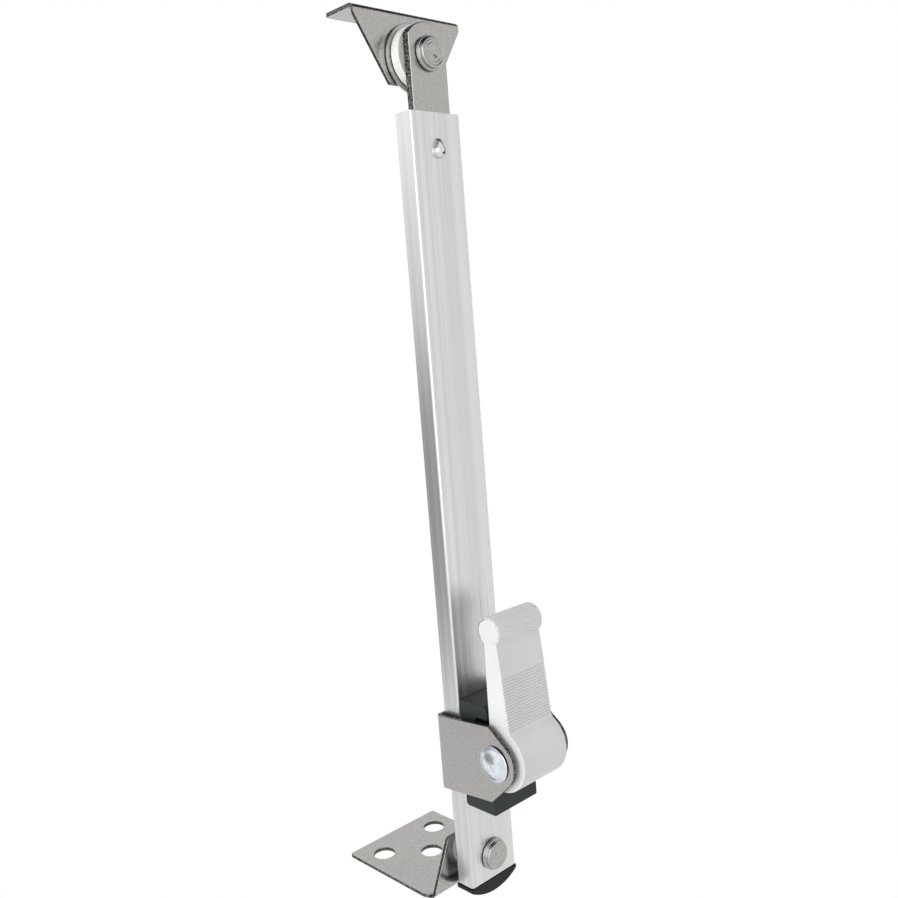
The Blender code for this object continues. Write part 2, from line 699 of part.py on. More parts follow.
def clamp_housing():
    """U of sheet round the channel's back, with cheeks that carry the lever's pin."""
    outer = HOUSING_WIDTH / 2
    inner = outer - SHEET
    inner_bend = HOUSING_BEND - SHEET
    pin = (PIN_Y, PIN_Z)
    reach = PIN_Y - CHEEK_RADIUS - SPARE
    section = rounded([
        (-outer, reach, 0),
        (-inner, reach, 0),
        (-inner, HOUSING_INNER_BACK, inner_bend),
        (inner, HOUSING_INNER_BACK, inner_bend),
        (inner, reach, 0),
        (outer, reach, 0),
        (outer, HOUSING_BACK, HOUSING_BEND),
        (-outer, HOUSING_BACK, HOUSING_BEND),
    ])
    housing = slab("clamp_housing", section, CLAMP_BOTTOM - SPARE, CLAMP_TOP + SPARE, PLAN_VIEW)
    tip = (CHANNEL_FRONT - CHEEK_TIP_REACH, CLAMP_BOTTOM + CHEEK_RISE)
    brow = (CHANNEL_FRONT - CHEEK_TOP_REACH, CLAMP_TOP + CHEEK_RISE)
    heel = (HOUSING_BACK, CLAMP_BOTTOM - CHEEK_DROP)
    nape = (HOUSING_BACK, CLAMP_TOP - CHEEK_DROP)
    low = tangent_angle(tip, pin, CHEEK_RADIUS, -1)
    high = tangent_angle(brow, pin, CHEEK_RADIUS, 1)
    outline = [heel, (HOUSING_BACK + SPARE, heel[1]), (HOUSING_BACK + SPARE, nape[1]), nape, brow]
    outline += arc(pin, CHEEK_RADIUS, high, low + 360)
    outline.append(tip)
    side = outer + SPARE
    trim(housing, slab("cheek_trim", outline, -side, side, SIDE_VIEW, CUTTERS))
    place = (0, PIN_Y, PIN_Z)
    cut(housing, drill("housing_pin_hole", PIN_SHANK + 2 * GAP, -side, side, place, FACING_LEFT))
    drill_for_carriage(housing, HOUSING_INNER_BACK, HOUSING_BACK)
    return housing


def clamp_pad():
    """Pad with an upper and a lower lip, between which the cam turns."""
    side = CHANNEL_WIDTH / 2 - PAD_INSET
    face = CHANNEL_FRONT - GAP
    floor = PIN_Y + CAM_OFFSET + CAM_RADIUS + GAP
    low = CLAMP_BOTTOM - PAD_LOWER_OVERHANG
    high = CLAMP_TOP + PAD_UPPER_OVERHANG
    lower_front = CHANNEL_FRONT - PAD_LOWER_REACH
    upper_front = CHANNEL_FRONT - PAD_UPPER_REACH
    lower_lip = PIN_Z - CAM_RADIUS - PAD_LOWER_PLAY
    upper_lip = PIN_Z + CAM_RADIUS + PAD_UPPER_PLAY
    outline = rounded([
        (face, low, 0),
        (face, high, 0),
        (upper_front, high, PAD_CORNER),
        (upper_front, upper_lip, PAD_EDGE),
        (floor, upper_lip, PAD_CORNER),
        (floor, lower_lip, PAD_CORNER),
        (lower_front, lower_lip, PAD_EDGE),
        (lower_front, low, PAD_EDGE),
    ])
    return slab("clamp_pad", outline, -side, side, SIDE_VIEW)


def lever_pin():
    """Rivet across the cheeks, with a domed and dimpled head on the left."""
    shank = PIN_SHANK / 2
    head = PIN_HEAD / 2
    seat = HOUSING_WIDTH / 2 + GAP
    crown = seat + PIN_HEAD_RISE
    dome_radius = (head * head + PIN_HEAD_RISE * PIN_HEAD_RISE) / (2 * PIN_HEAD_RISE)
    edge_angle = math.degrees(math.asin(head / dome_radius))
    dimple_angle = math.degrees(math.asin(PIN_DIMPLE / 2 / dome_radius))
    profile = [(0, crown - PIN_DIMPLE_DEPTH)]
    profile += arc((0, crown - dome_radius), dome_radius, 90 - dimple_angle, 90 - edge_angle)
    profile += [(shank, seat), (shank, -seat)]
    profile += tail_profile(PIN_TAIL / 2, -seat, PIN_TAIL_RISE)
    return turned("lever_pin", profile, (0, PIN_Y, PIN_Z), FACING_LEFT)


def root_fillet(cam, line_y, outward):
    """Fillet between the cam and an upright line: its points from the cam to the line."""
    centre_y = line_y + outward * ROOT_FILLET
    span = CAM_RADIUS + ROOT_FILLET
    centre_z = cam[1] + math.sqrt(span ** 2 - (centre_y - cam[0]) ** 2)
    towards_cam = math.degrees(math.atan2(cam[1] - centre_z, cam[0] - centre_y))
    if outward > 0:
        return arc((centre_y, centre_z), ROOT_FILLET, towards_cam % 360, 180)
    return arc((centre_y, centre_z), ROOT_FILLET, towards_cam, 0)


def grooved_front(start, stop):
    """Front of the arm from its root up to the grip, with fine grooves along X."""
    along = (Vector(stop) - Vector(start)).normalized()
    inward = Vector((along.y, -along.x))
    first = max(PIN_Z + GROOVE_START, start[1] + GROOVE_WIDTH)
    last = stop[1] - GROOVE_MARGIN
    lip = GROOVE_WIDTH / 2
    bed = GROOVE_WIDTH / 4
    points = []
    for number in range(int((last - first) / GROOVE_PITCH) + 1):
        height = first + number * GROOVE_PITCH
        middle = Vector(start) + along * (height - start[1]) / along.y
        for offset, depth in ((-lip, 0), (-bed, GROOVE_DEPTH), (bed, GROOVE_DEPTH), (lip, 0)):
            points.append(tuple(middle + along * offset + inward * depth))
    return points


def fluted_grip(centre, start, stop):
    """Round of the grip between two angles, with flutes along X."""
    points = []
    per_flute = 4
    steps = per_flute * GRIP_FLUTES
    for step in range(steps + 1):
        angle = math.radians(start + (stop - start) * step / steps)
        in_flute = step % per_flute == per_flute // 2
        radius = GRIP_RADIUS - FLUTE_DEPTH if in_flute else GRIP_RADIUS
        points.append((centre[0] + radius * math.cos(angle), centre[1] + radius * math.sin(angle)))
    return points


def angle_about(centre, point):
    """Angle of a point seen from a centre, in degrees."""
    return math.degrees(math.atan2(point[1] - centre[1], point[0] - centre[0]))


def lever():
    """Handle with its cam round the pin, a grooved arm and a fluted grip."""
    cam = (PIN_Y + CAM_OFFSET, PIN_Z)
    grip = (PIN_Y + GRIP_BEHIND, PIN_Z + GRIP_RISE)
    rear = PIN_Y + ARM_BEHIND
    front_tip = PIN_Y - ARM_AHEAD_TIP
    rear_fillet = root_fillet(cam, rear, 1)
    front_fillet = root_fillet(cam, PIN_Y - ARM_AHEAD_ROOT, -1)
    grip_rear = -math.degrees(math.acos((rear - grip[0]) / GRIP_RADIUS))
    grip_front = math.degrees(math.acos((grip[0] - front_tip) / GRIP_RADIUS)) - 180
    grip_front_z = grip[1] + GRIP_RADIUS * math.sin(math.radians(grip_front))
    cam_start = angle_about(cam, rear_fillet[0])
    cam_stop = angle_about(cam, front_fillet[0]) - 360
    outline = arc(cam, CAM_RADIUS, cam_start, cam_stop, 2 * ARC_STEPS)
    outline += front_fillet[1:]
    outline += grooved_front(front_fillet[-1], (front_tip, grip_front_z))
    outline += fluted_grip(grip, grip_front + 360, grip_rear)
    outline += list(reversed(rear_fillet[1:]))
    handle = slab("lever", outline, -LEVER_WIDTH / 2, LEVER_WIDTH / 2, SIDE_VIEW)
    reach = LEVER_WIDTH / 2 + SPARE
    place = (0, PIN_Y, PIN_Z)
    cut(handle, drill("lever_pin_hole", PIN_SHANK + 2 * GAP, -reach, reach, place, FACING_LEFT))
    return handle


# ---------------------------------------------------------------- assembly

ALUMINIUM = material("anodised_aluminium", (0.66, 0.66, 0.67), 0.34, 1.0)
PLATED_STEEL = material("plated_steel", (0.50, 0.49, 0.47), 0.30, 1.0)
BRIGHT_ZINC = material("bright_zinc", (0.72, 0.75, 0.80), 0.25, 1.0)
WHITE_PLASTIC = material("white_plastic", (0.82, 0.82, 0.80), 0.45, 0.0)
GREY_PLASTIC = material("dark_grey_plastic", (0.045, 0.055, 0.052), 0.45, 0.0)
BLACK_PLASTIC = material("black_plastic", (0.012, 0.013, 0.014), 0.40, 0.0)

mounting_face = axis_empty("mounting_face", (0, 0, 0))
lower_axis = axis_empty("lower_axis", (0, CHANNEL_FRONT, PIVOT_HEIGHT))
slide_axis = axis_empty("slide_axis", (0, BAR_FRONT, CLAMP_BOTTOM))
lever_axis = axis_empty("lever_axis", (0, PIN_Y, PIN_Z))
pad_axis = axis_empty("pad_axis", (0, CHANNEL_FRONT, PIN_Z))
upper_axis = axis_empty("upper_axis", (0, UPPER_PLATE_FRONT, UPPER_PIVOT))

finish(lower_bracket(), PLATED_STEEL, mounting_face)
lower_rivet = pivot_rivet("lower_rivet", CHANNEL_FRONT, PLATE_FRONT + SHEET, PIVOT_HEIGHT)
finish(lower_rivet, PLATED_STEEL, mounting_face)
finish(lower_bush(), WHITE_PLASTIC, mounting_face)

finish(channel(), ALUMINIUM, lower_axis)
finish(stop_lug(), ALUMINIUM, lower_axis)
finish(end_cap(), BLACK_PLASTIC, lower_axis)

finish(slide_bar(), PLATED_STEEL, slide_axis)
finish(guide_shoe(), BLACK_PLASTIC, slide_axis)
finish(carriage_spacer(), PLATED_STEEL, slide_axis)
for rivet_number, rivet_height in enumerate(carriage_rivet_places(), 1):
    finish(carriage_rivet(rivet_number, rivet_height), PLATED_STEEL, slide_axis)
finish(clamp_housing(), PLATED_STEEL, slide_axis)
finish(lever_pin(), BRIGHT_ZINC, slide_axis)
upper_rivet = pivot_rivet("upper_rivet", BAR_FRONT, UPPER_PLATE_FRONT + SHEET, UPPER_PIVOT)
finish(upper_rivet, PLATED_STEEL, slide_axis)
upper_bush = ring("upper_bush", UPPER_BUSH, UPPER_BUSH_FRONT, UPPER_BUSH_RISE, UPPER_PIVOT)
finish(upper_bush, WHITE_PLASTIC, slide_axis)
upper_washer = ring("upper_washer", UPPER_WASHER, UPPER_WASHER_FRONT, UPPER_WASHER_RISE, UPPER_PIVOT)
finish(upper_washer, PLATED_STEEL, slide_axis)

finish(clamp_pad(), GREY_PLASTIC, pad_axis)
finish(lever(), WHITE_PLASTIC, lever_axis)
finish(upper_bracket(), PLATED_STEEL, upper_axis)
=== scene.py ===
"""Looks of the sliding window stay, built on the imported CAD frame.

Lengths are in metres and places are in the CAD's frame: +Z up the stay, -Y its front, where the lever is.
Each piece takes its size and place from the box of the CAD node that it stands for.
"""

import math

import bmesh
import bpy
from mathutils import Matrix, Vector


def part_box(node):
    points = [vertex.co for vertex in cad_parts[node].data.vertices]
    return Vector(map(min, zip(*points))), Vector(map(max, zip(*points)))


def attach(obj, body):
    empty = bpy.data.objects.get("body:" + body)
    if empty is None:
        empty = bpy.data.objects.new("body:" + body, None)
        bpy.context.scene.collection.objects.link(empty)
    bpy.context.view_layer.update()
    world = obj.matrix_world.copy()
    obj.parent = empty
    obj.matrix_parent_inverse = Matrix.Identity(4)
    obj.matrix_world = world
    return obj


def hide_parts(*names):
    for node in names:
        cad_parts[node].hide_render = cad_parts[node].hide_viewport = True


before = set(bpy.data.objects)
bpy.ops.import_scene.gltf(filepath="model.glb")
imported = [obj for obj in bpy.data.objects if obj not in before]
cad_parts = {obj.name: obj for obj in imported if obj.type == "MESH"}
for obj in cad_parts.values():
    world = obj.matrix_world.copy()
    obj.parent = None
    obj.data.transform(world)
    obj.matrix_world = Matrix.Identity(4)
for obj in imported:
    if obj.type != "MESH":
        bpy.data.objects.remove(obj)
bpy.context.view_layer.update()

MM = 0.001
SPARE = 3.0 * MM  # how far a cutter runs past what it cuts
ROUND_STEPS = 96
ARC_STEPS = 24
LONG_ARC_STEPS = 40
DOME_STEPS = 20
CORNER_STEPS = 8
EDGE_SEGMENTS = 3
EDGE_ANGLE = 35  # least angle that is softened, in degrees
SHARP_ANGLE = 30

# Sheet pieces
SHEET = 1.5 * MM
LOWER_FOLD = 2.0 * MM  # outside of the lower bracket's fold
UPPER_FOLD = 2.6 * MM
HOUSING_BEND = 2.5 * MM
SHEET_EDGE = 0.18 * MM
FLANGE_CORNER = 1.2 * MM
LOWER_ROOT = 44.6 * MM
LOWER_TIP = 25.8 * MM
LOWER_TIP_CORNER = 1.8 * MM
LOWER_SHOULDER = 4.7 * MM
LOWER_SHOULDER_CORNER = 2.5 * MM
SCREW_HOLE = 9.2 * MM
HOLE_NEAR = 26.6 * MM
HOLE_FAR = 41.2 * MM
HOLE_SPREAD = 29.2 * MM
UPPER_TIP = 22.8 * MM
UPPER_TIP_CORNER = 1.0 * MM
UPPER_SHOULDER = 3.6 * MM
UPPER_SHOULDER_CORNER = 3.0 * MM
UPPER_HOLE = 4.6 * MM
UPPER_HOLE_SPREAD = 20.0 * MM
CHEEK_RADIUS = 9.6 * MM
CHEEK_TOP_REACH = 18.8 * MM
CHEEK_TIP_REACH = 18.0 * MM
CHEEK_LEAN = 2.4 * MM  # how far the cheeks' edges climb from back to front

# Rivets, bushes and washer
PIVOT_HOLE = 6.6 * MM
SHANK = 6.0 * MM
COLLAR_RISE = 1.1 * MM
HEAD = 11.2 * MM
HEAD_RISE = 1.7 * MM
HEAD_EDGE = 0.8 * MM
DIMPLE = 4.8 * MM
DIMPLE_DEPTH = 0.6 * MM
DIMPLE_BED = 0.3  # flat middle, as a share of the dimple
DIMPLE_ROUNDING = 0.25  # as a share of the depth
TURNED_EDGE = 0.35 * MM
TAIL = 9.6 * MM
TAIL_RISE = 1.5 * MM
TAIL_CROWN = 0.65
TURNING_RINGS = 2  # round the dimple
TURNING_WIDTH = 0.3 * MM
TURNING_DEPTH = 0.16 * MM
BUSH_EDGE = 0.5 * MM
GAP = 0.3 * MM
BUSH_BODY = 10.4 * MM
BUSH_FLANGE_RISE = 2.4 * MM

# Channel
WALL = 1.1 * MM
CHANNEL_CORNER = 1.2 * MM
SLOT = 11.0 * MM
LINE_WIDTH = 0.36 * MM
LINE_DEPTH = 0.09 * MM
LINES = (-0.62, -0.36, 0.30, 0.62)  # places of the extrusion lines, as shares of half the width
LUG_TIP = 1.2 * MM  # radius of its point
LUG_CORNER = 2.6 * MM
LUG_CREST = 3.2 * MM  # its lower edge to its highest spot
LUG_SEAT = 0.2 * MM  # into the channel's wall
LUG_STEPS = 12
LUG_FULLNESS = 0.8  # under 1 is steeper at the rim and flatter on top
LUG_SHARP_ANGLE = 60
LUG_SHADE_STEPS = 9  # from the foot, on the right, where shade is painted in dark sheared steel
CHANNEL_EDGE = 0.2 * MM
CHANNEL_EDGE_ANGLE = 60
CHANNEL_EDGE_SEGMENTS = 2
CAP_EDGE = 1.6 * MM

# Bar and carriage
BAR_CROWN = 2.2 * MM
BAR_EDGE = 0.45 * MM
TONGUE_WIDTH = 10.0 * MM
TONGUE_LENGTH = 6.0 * MM
CARRIAGE_RIVET = 4.0 * MM
CARRIAGE_RIVET_RISE = 0.9 * MM
SHOE_CORNER = 0.6 * MM
SPACER_CORNER = 1.5 * MM

# Lever and pin
ARM_BEHIND = 5.0 * MM
ARM_AHEAD_ROOT = 5.4 * MM
ARM_AHEAD_TIP = 2.1 * MM
GRIP_BEHIND = 1.7 * MM
GRIP_RADIUS = 5.7 * MM
CAM_OFFSET = 0.7 * MM
GRIP_FLUTES = 22
FLUTE_STEPS = 8
FLUTE_DEPTH = 0.5 * MM
FLUTE_SHARPNESS = 3  # higher is a narrower flute
GROOVE_START = 12.5 * MM
GROOVE_COUNT = 18
GROOVE_PITCH = 1.13 * MM
GROOVE_WIDTH = 0.58 * MM
GROOVE_TAPER = 6  # mouth to bed
GROOVE_DEPTH = 0.5 * MM
ROOT_FILLET = 1.5 * MM
LEVER_EDGE = 0.35 * MM
LEVER_EDGE_ANGLE = 65
PIN_HEAD_SIDE = 0.5 * MM  # straight rim under the dome
PIN_HEAD_RISE = 2.6 * MM
PIN_DIMPLE = 0.4 * MM
PIN_DIMPLE_RADIUS = 1.0 * MM
PIN_DIMPLE_BED = 0.5
PIN_DIMPLE_ROUNDING = 0.3
PIN_SHOULDER = 1.2 * MM  # dome's foot in from the rim
PIN_TAIL = 11.0 * MM
PIN_TAIL_RISE = 1.5 * MM

# Pad
PAD_LOWER_LIP = 9.0 * MM
PAD_UPPER_LIP = 5.3 * MM
PAD_UPPER_REACH = 14.6 * MM
PAD_CORNER = 2.5 * MM
PAD_EDGE = 0.8 * MM
MOULDED_EDGE = 0.4 * MM

# Colours
ALUMINIUM_DARK = (0.615, 0.617, 0.623)
ALUMINIUM_LIGHT = (0.715, 0.717, 0.723)
ALUMINIUM_LINE = (0.76, 0.76, 0.765)
ALUMINIUM_CLOUD = (0.60, 0.60, 0.605)
STEEL_DARK = (0.365, 0.358, 0.345)
STEEL_LIGHT = (0.475, 0.468, 0.453)
STEEL_CLOUD = (0.43, 0.425, 0.412)
# dark sheared steel: the sheet's cut edges, and painted shade on the stop lug's right
SHEARED_AND_SHADE_DARK = (0.03, 0.028, 0.025)
SHEARED_AND_SHADE_LIGHT = (0.36, 0.35, 0.33)
ZINC_DARK = (0.60, 0.64, 0.70)
ZINC_LIGHT = (0.80, 0.83, 0.88)
ZINC_SPECK = (0.30, 0.32, 0.35)
LEVER_WHITES = ((0.80, 0.80, 0.785), (0.86, 0.86, 0.85))
BUSH_WHITES = ((0.84, 0.85, 0.83), (0.90, 0.90, 0.89))
PAD_GREYS = ((0.022, 0.029, 0.027), (0.034, 0.042, 0.040))
CAP_BLACKS = ((0.008, 0.009, 0.010), (0.014, 0.015, 0.016))
PAPER = (0.86, 0.86, 0.86)
FINE_GRAIN = 0.002 * MM
COARSE_GRAIN = 0.004 * MM
PLAIN_GLOSS = 0.5
LOW_GLOSS = 0.2

# Studio: each lamp and card has its place, width and height, and its power or shade
SKY_FILL = 0.5
KEY = ((-1.3, -0.12, 0.5), 1.2, 1.2, 12.0)
FILL = ((0.9, -1.0, 0.4), 1.2, 1.2, 2.3)
CEILING = ((0.1, -0.1, 1.5), 2.2, 2.2, 0.03)
BEHIND_CAMERA = ((-0.85, -0.95, 0.3), 1.3, 1.6, 2.2)
LEFT_LOW = ((-0.42, 0.40, 0.05), 0.7, 0.3, 0.4)
LEFT_HIGH = ((-0.46, 0.44, 0.56), 0.7, 0.36, 1.4)
FLOOR_SIZE = 4.0
FLOOR_DROP = 0.12  # below the mounting face
CAMERA_PLACE = Vector((-0.2599, -0.3219, 0.2280))
CAMERA_AZIMUTH = -42.786  # degrees about +Z, from looking along +Y
CAMERA_ELEVATION = 7.274
CAMERA_ROLL = -4.543
CAMERA_SENSOR = 36  # mm, square
CAMERA_LENS = 39.75  # mm
CAMERA_NEAR = 0.01


# ---------------------------------------------------------------- materials

def noise(tree, scale, detail, roughness, stretch=(1, 1, 1)):
    """Noise in the piece's own space, with scale in cycles a metre."""
    place = tree.nodes.new("ShaderNodeTexCoord")
    fit = tree.nodes.new("ShaderNodeMapping")
    fit.inputs["Scale"].default_value = stretch
    made = tree.nodes.new("ShaderNodeTexNoise")
    made.inputs["Scale"].default_value = scale
    made.inputs["Detail"].default_value = detail
    made.inputs["Roughness"].default_value = roughness
    tree.links.new(place.outputs["Object"], fit.inputs["Vector"])
    tree.links.new(fit.outputs["Vector"], made.inputs["Vector"])
    return made.outputs["Fac"]


def between(tree, factor, low, high, to_low, to_high):
    """Factor's range from low to high, mapped onto another range."""
    made = tree.nodes.new("ShaderNodeMapRange")
    made.inputs["From Min"].default_value = low
    made.inputs["From Max"].default_value = high
    made.inputs["To Min"].default_value = to_low
    made.inputs["To Max"].default_value = to_high
    tree.links.new(factor, made.inputs["Value"])
    return made.outputs["Result"]


def blend_of(tree, factor, first, second):
    """Mix of two colours, each a triple or a socket."""
    made = tree.nodes.new("ShaderNodeMix")
    made.data_type = "RGBA"
    tree.links.new(factor, made.inputs["Factor"])
    for name, colour in (("A", first), ("B", second)):
        socket = [one for one in made.inputs if one.name == name and one.type == "RGBA"][0]
        if isinstance(colour, tuple):
            socket.default_value = (*colour, 1.0)
        else:
            tree.links.new(colour, socket)
    return [one for one in made.outputs if one.type == "RGBA"][0]


def relief(tree, shader, *heights):
    """Bumps, each a height socket with its depth."""
    normal = None
    for height, depth in heights:
        made = tree.nodes.new("ShaderNodeBump")
        made.inputs["Strength"].default_value = 1.0
        made.inputs["Distance"].default_value = depth
        tree.links.new(height, made.inputs["Height"])
        if normal:
            tree.links.new(normal, made.inputs["Normal"])
        normal = made.outputs["Normal"]
    tree.links.new(normal, shader.inputs["Normal"])


def new_material(name, metallic):
    made = bpy.data.materials.new(name)
    made.use_nodes = True
    shader = made.node_tree.nodes["Principled BSDF"]
    shader.inputs["Metallic"].default_value = metallic
    return made, made.node_tree, shader


def extruded_aluminium():
    """Satin aluminium with lines along the extrusion, fine and broad, and faint clouds."""
    made, tree, shader = new_material("extruded_aluminium", 1.0)
    fine = noise(tree, scale=2600, detail=3, roughness=0.6, stretch=(1, 1, 0.006))
    broad = noise(tree, scale=620, detail=2, roughness=0.5, stretch=(1, 1, 0.004))
    clouds = noise(tree, scale=60, detail=3, roughness=0.5, stretch=(1, 1, 0.35))
    grain = noise(tree, scale=5200, detail=2, roughness=0.5, stretch=(1, 1, 0.25))
    banded = blend_of(tree, between(tree, broad, 0.35, 0.65, 0, 1), ALUMINIUM_DARK, ALUMINIUM_LIGHT)
    lined = blend_of(tree, between(tree, fine, 0.45, 0.72, 0, 0.45), banded, ALUMINIUM_LINE)
    clouded = blend_of(tree, between(tree, clouds, 0.3, 0.75, 0, 0.3), lined, ALUMINIUM_CLOUD)
    tree.links.new(clouded, shader.inputs["Base Color"])
    tree.links.new(between(tree, fine, 0.3, 0.7, 0.25, 0.38), shader.inputs["Roughness"])
    relief(tree, shader, (fine, 0.006 * MM), (broad, 0.012 * MM), (grain, 0.002 * MM))
    return made


def plated_steel():
    """Zinc-plated sheet: warm grey, finely mottled."""
    made, tree, shader = new_material("plated_steel", 1.0)
    mottle = noise(tree, scale=900, detail=6, roughness=0.65)
    cloud = noise(tree, scale=130, detail=4, roughness=0.55)
    pits = noise(tree, scale=3200, detail=3, roughness=0.6)
    fine = blend_of(tree, between(tree, mottle, 0.36, 0.66, 0, 1), STEEL_DARK, STEEL_LIGHT)
    toned = blend_of(tree, between(tree, cloud, 0.35, 0.7, 0, 0.4), fine, STEEL_CLOUD)
    tree.links.new(toned, shader.inputs["Base Color"])
    tree.links.new(between(tree, mottle, 0.3, 0.7, 0.19, 0.28), shader.inputs["Roughness"])
    relief(tree, shader, (mottle, 0.004 * MM), (pits, 0.002 * MM))
    return made


def sheared_steel_and_shade():
    """Cut edge of the sheet: rough, dark and speckled; also the painted shade on the stop lug's right."""
    made, tree, shader = new_material("sheared_steel_and_shade", 1.0)
    speckle = noise(tree, scale=1500, detail=6, roughness=0.75)
    torn = noise(tree, scale=500, detail=4, roughness=0.6)
    mixed = blend_of(tree, between(tree, speckle, 0.47, 0.64, 0, 1), SHEARED_AND_SHADE_DARK, SHEARED_AND_SHADE_LIGHT)
    tree.links.new(mixed, shader.inputs["Base Color"])
    tree.links.new(between(tree, speckle, 0.3, 0.7, 0.55, 0.32), shader.inputs["Roughness"])
    relief(tree, shader, (torn, 0.05 * MM), (speckle, 0.02 * MM))
    return made


def bright_zinc():
    """Bright bluish plating with soft dents."""
    made, tree, shader = new_material("bright_zinc", 1.0)
    dents = noise(tree, scale=300, detail=3, roughness=0.5)
    specks = noise(tree, scale=1700, detail=4, roughness=0.7)
    cool = blend_of(tree, between(tree, dents, 0.36, 0.64, 0, 1), ZINC_DARK, ZINC_LIGHT)
    speckled = blend_of(tree, between(tree, specks, 0.56, 0.72, 0, 0.4), cool, ZINC_SPECK)
    tree.links.new(speckled, shader.inputs["Base Color"])
    tree.links.new(between(tree, specks, 0.3, 0.7, 0.16, 0.32), shader.inputs["Roughness"])
    relief(tree, shader, (dents, 0.02 * MM), (specks, 0.004 * MM))
    return made


def moulded(name, tones, roughness, grain_depth, gloss):
    """Moulded plastic with slight flow marks and a fine spark-eroded grain."""
    made, tree, shader = new_material(name, 0.0)
    shader.inputs["Specular IOR Level"].default_value = gloss
    flow = noise(tree, scale=70, detail=3, roughness=0.5, stretch=(1, 1, 0.6))
    grain = noise(tree, scale=4200, detail=4, roughness=0.65)
    scuffs = noise(tree, scale=600, detail=5, roughness=0.7, stretch=(1, 1, 0.3))
    tone = blend_of(tree, between(tree, flow, 0.3, 0.7, 0, 1), *tones)
    tree.links.new(tone, shader.inputs["Base Color"])
    rough = between(tree, scuffs, 0.35, 0.7, roughness - 0.06, roughness + 0.08)
    tree.links.new(rough, shader.inputs["Roughness"])
    relief(tree, shader, (grain, grain_depth), (flow, 3 * grain_depth))
    return made


ALUMINIUM = extruded_aluminium()
STEEL = plated_steel()
SHEARED_AND_SHADE = sheared_steel_and_shade()
ZINC = bright_zinc()
WHITE = moulded("white_plastic", LEVER_WHITES, 0.40, FINE_GRAIN, PLAIN_GLOSS)
BUSH_WHITE = moulded("bush_plastic", BUSH_WHITES, 0.36, FINE_GRAIN, PLAIN_GLOSS)
DARK_GREY = moulded("dark_grey_plastic", PAD_GREYS, 0.42, COARSE_GRAIN, LOW_GLOSS)
BLACK = moulded("black_plastic", CAP_BLACKS, 0.42, COARSE_GRAIN, LOW_GLOSS)


# ---------------------------------------------------------------- shapes

def front_view(across, up, depth):
    return Vector((across, depth, up))


def side_view(along, up, depth):
    return Vector((depth, along, up))


def plan_view(across, along, depth):
    return Vector((across, along, depth))


FACING_UP = Matrix.Identity(4)
FACING_FRONT = Matrix.Rotation(math.pi / 2, 4, "X")  # turned piece whose top faces -Y
FACING_LEFT = Matrix.Rotation(-math.pi / 2, 4, "Y")  # turned piece whose top faces -X


def arc(centre, radius, start, stop, steps=ARC_STEPS):
    """Points from the angle start to stop, in degrees."""
    angles = [math.radians(start + (stop - start) * i / steps) for i in range(steps + 1)]
    return [(centre[0] + radius * math.cos(a), centre[1] + radius * math.sin(a)) for a in angles]


def rounded(corners, steps=CORNER_STEPS):
    """Outline through corners given as (x, y, radius)."""
    points = []
    for i, (x, y, radius) in enumerate(corners):
        corner = Vector((x, y))
        if radius == 0:
            points.append((x, y))
            continue
        before = (Vector(corners[i - 1][:2]) - corner).normalized()
        after = (Vector(corners[(i + 1) % len(corners)][:2]) - corner).normalized()
        half = before.angle(after) / 2
        centre = corner + (before + after).normalized() * radius / math.sin(half)
        first = corner + before * radius / math.tan(half) - centre
        last = corner + after * radius / math.tan(half) - centre
        turn = first.angle_signed(last)
        for step in range(steps + 1):
            points.append(tuple(centre + Matrix.Rotation(-turn * step / steps, 2) @ first))
    return points


def box_outline(left, low, right, high, radius=0):
    return rounded([(left, low, radius), (right, low, radius), (right, high, radius), (left, high, radius)])


def object_of(name, shape, look):
    mesh = bpy.data.meshes.new(name)
    shape.to_mesh(mesh)
    shape.free()
    mesh.materials.append(look)
    made = bpy.data.objects.new(name, mesh)
    bpy.context.scene.collection.objects.link(made)
    return made


def prism(name, outline, low, high, lay, look):
    """Closed outline made solid from low to high along the view's own direction."""
    shape = bmesh.new()
    first = [shape.verts.new(lay(u, v, low)) for u, v in outline]
    second = [shape.verts.new(lay(u, v, high)) for u, v in outline]
    shape.faces.new(first)
    shape.faces.new(second)
    for i in range(len(outline)):
        shape.faces.new((first[i - 1], first[i], second[i], second[i - 1]))
    bmesh.ops.recalc_face_normals(shape, faces=shape.faces)
    return object_of(name, shape, look)


def turned(name, profile, place, facing, look, hollow=False):
    """Piece turned about its own Z from (radius, height) points."""
    shape = bmesh.new()
    rings = []
    for radius, height in profile:
        if radius == 0:
            rings.append([shape.verts.new((0, 0, height))])
        else:
            turns = [2 * math.pi * i / ROUND_STEPS for i in range(ROUND_STEPS)]
            spots = [(radius * math.cos(a), radius * math.sin(a), height) for a in turns]
            rings.append([shape.verts.new(spot) for spot in spots])
    pairs = list(zip(rings, rings[1:]))
    if hollow:
        pairs.append((rings[-1], rings[0]))
    for upper, lower in pairs:
        for i in range(ROUND_STEPS):
            corners = [upper[i - 1], upper[i]] if len(upper) > 1 else [upper[0]]
            corners += [lower[i], lower[i - 1]] if len(lower) > 1 else [lower[0]]
            shape.faces.new(corners)
    bmesh.ops.recalc_face_normals(shape, faces=shape.faces)
    shape.transform(Matrix.Translation(place) @ facing)
    return object_of(name, shape, look)


def drill(name, diameter, low, high, place, facing, look=None):
    radius = diameter / 2
    profile = [(0, high), (radius, high), (radius, low), (0, low)]
    return turned(name, profile, place, facing, look or SHEARED_AND_SHADE)


def change(piece, other, operation):
    """Boolean whose new faces keep the other piece's material."""
    made = piece.modifiers.new(other.name, "BOOLEAN")
    made.operation = operation
    made.solver = "EXACT"
    made.material_mode = "TRANSFER"
    made.object = other


def cut(piece, *others):
    for other in others:
        change(piece, other, "DIFFERENCE")


def trim(piece, *others):
    for other in others:
        change(piece, other, "INTERSECT")


def join(piece, *others):
    for other in others:
        change(piece, other, "UNION")


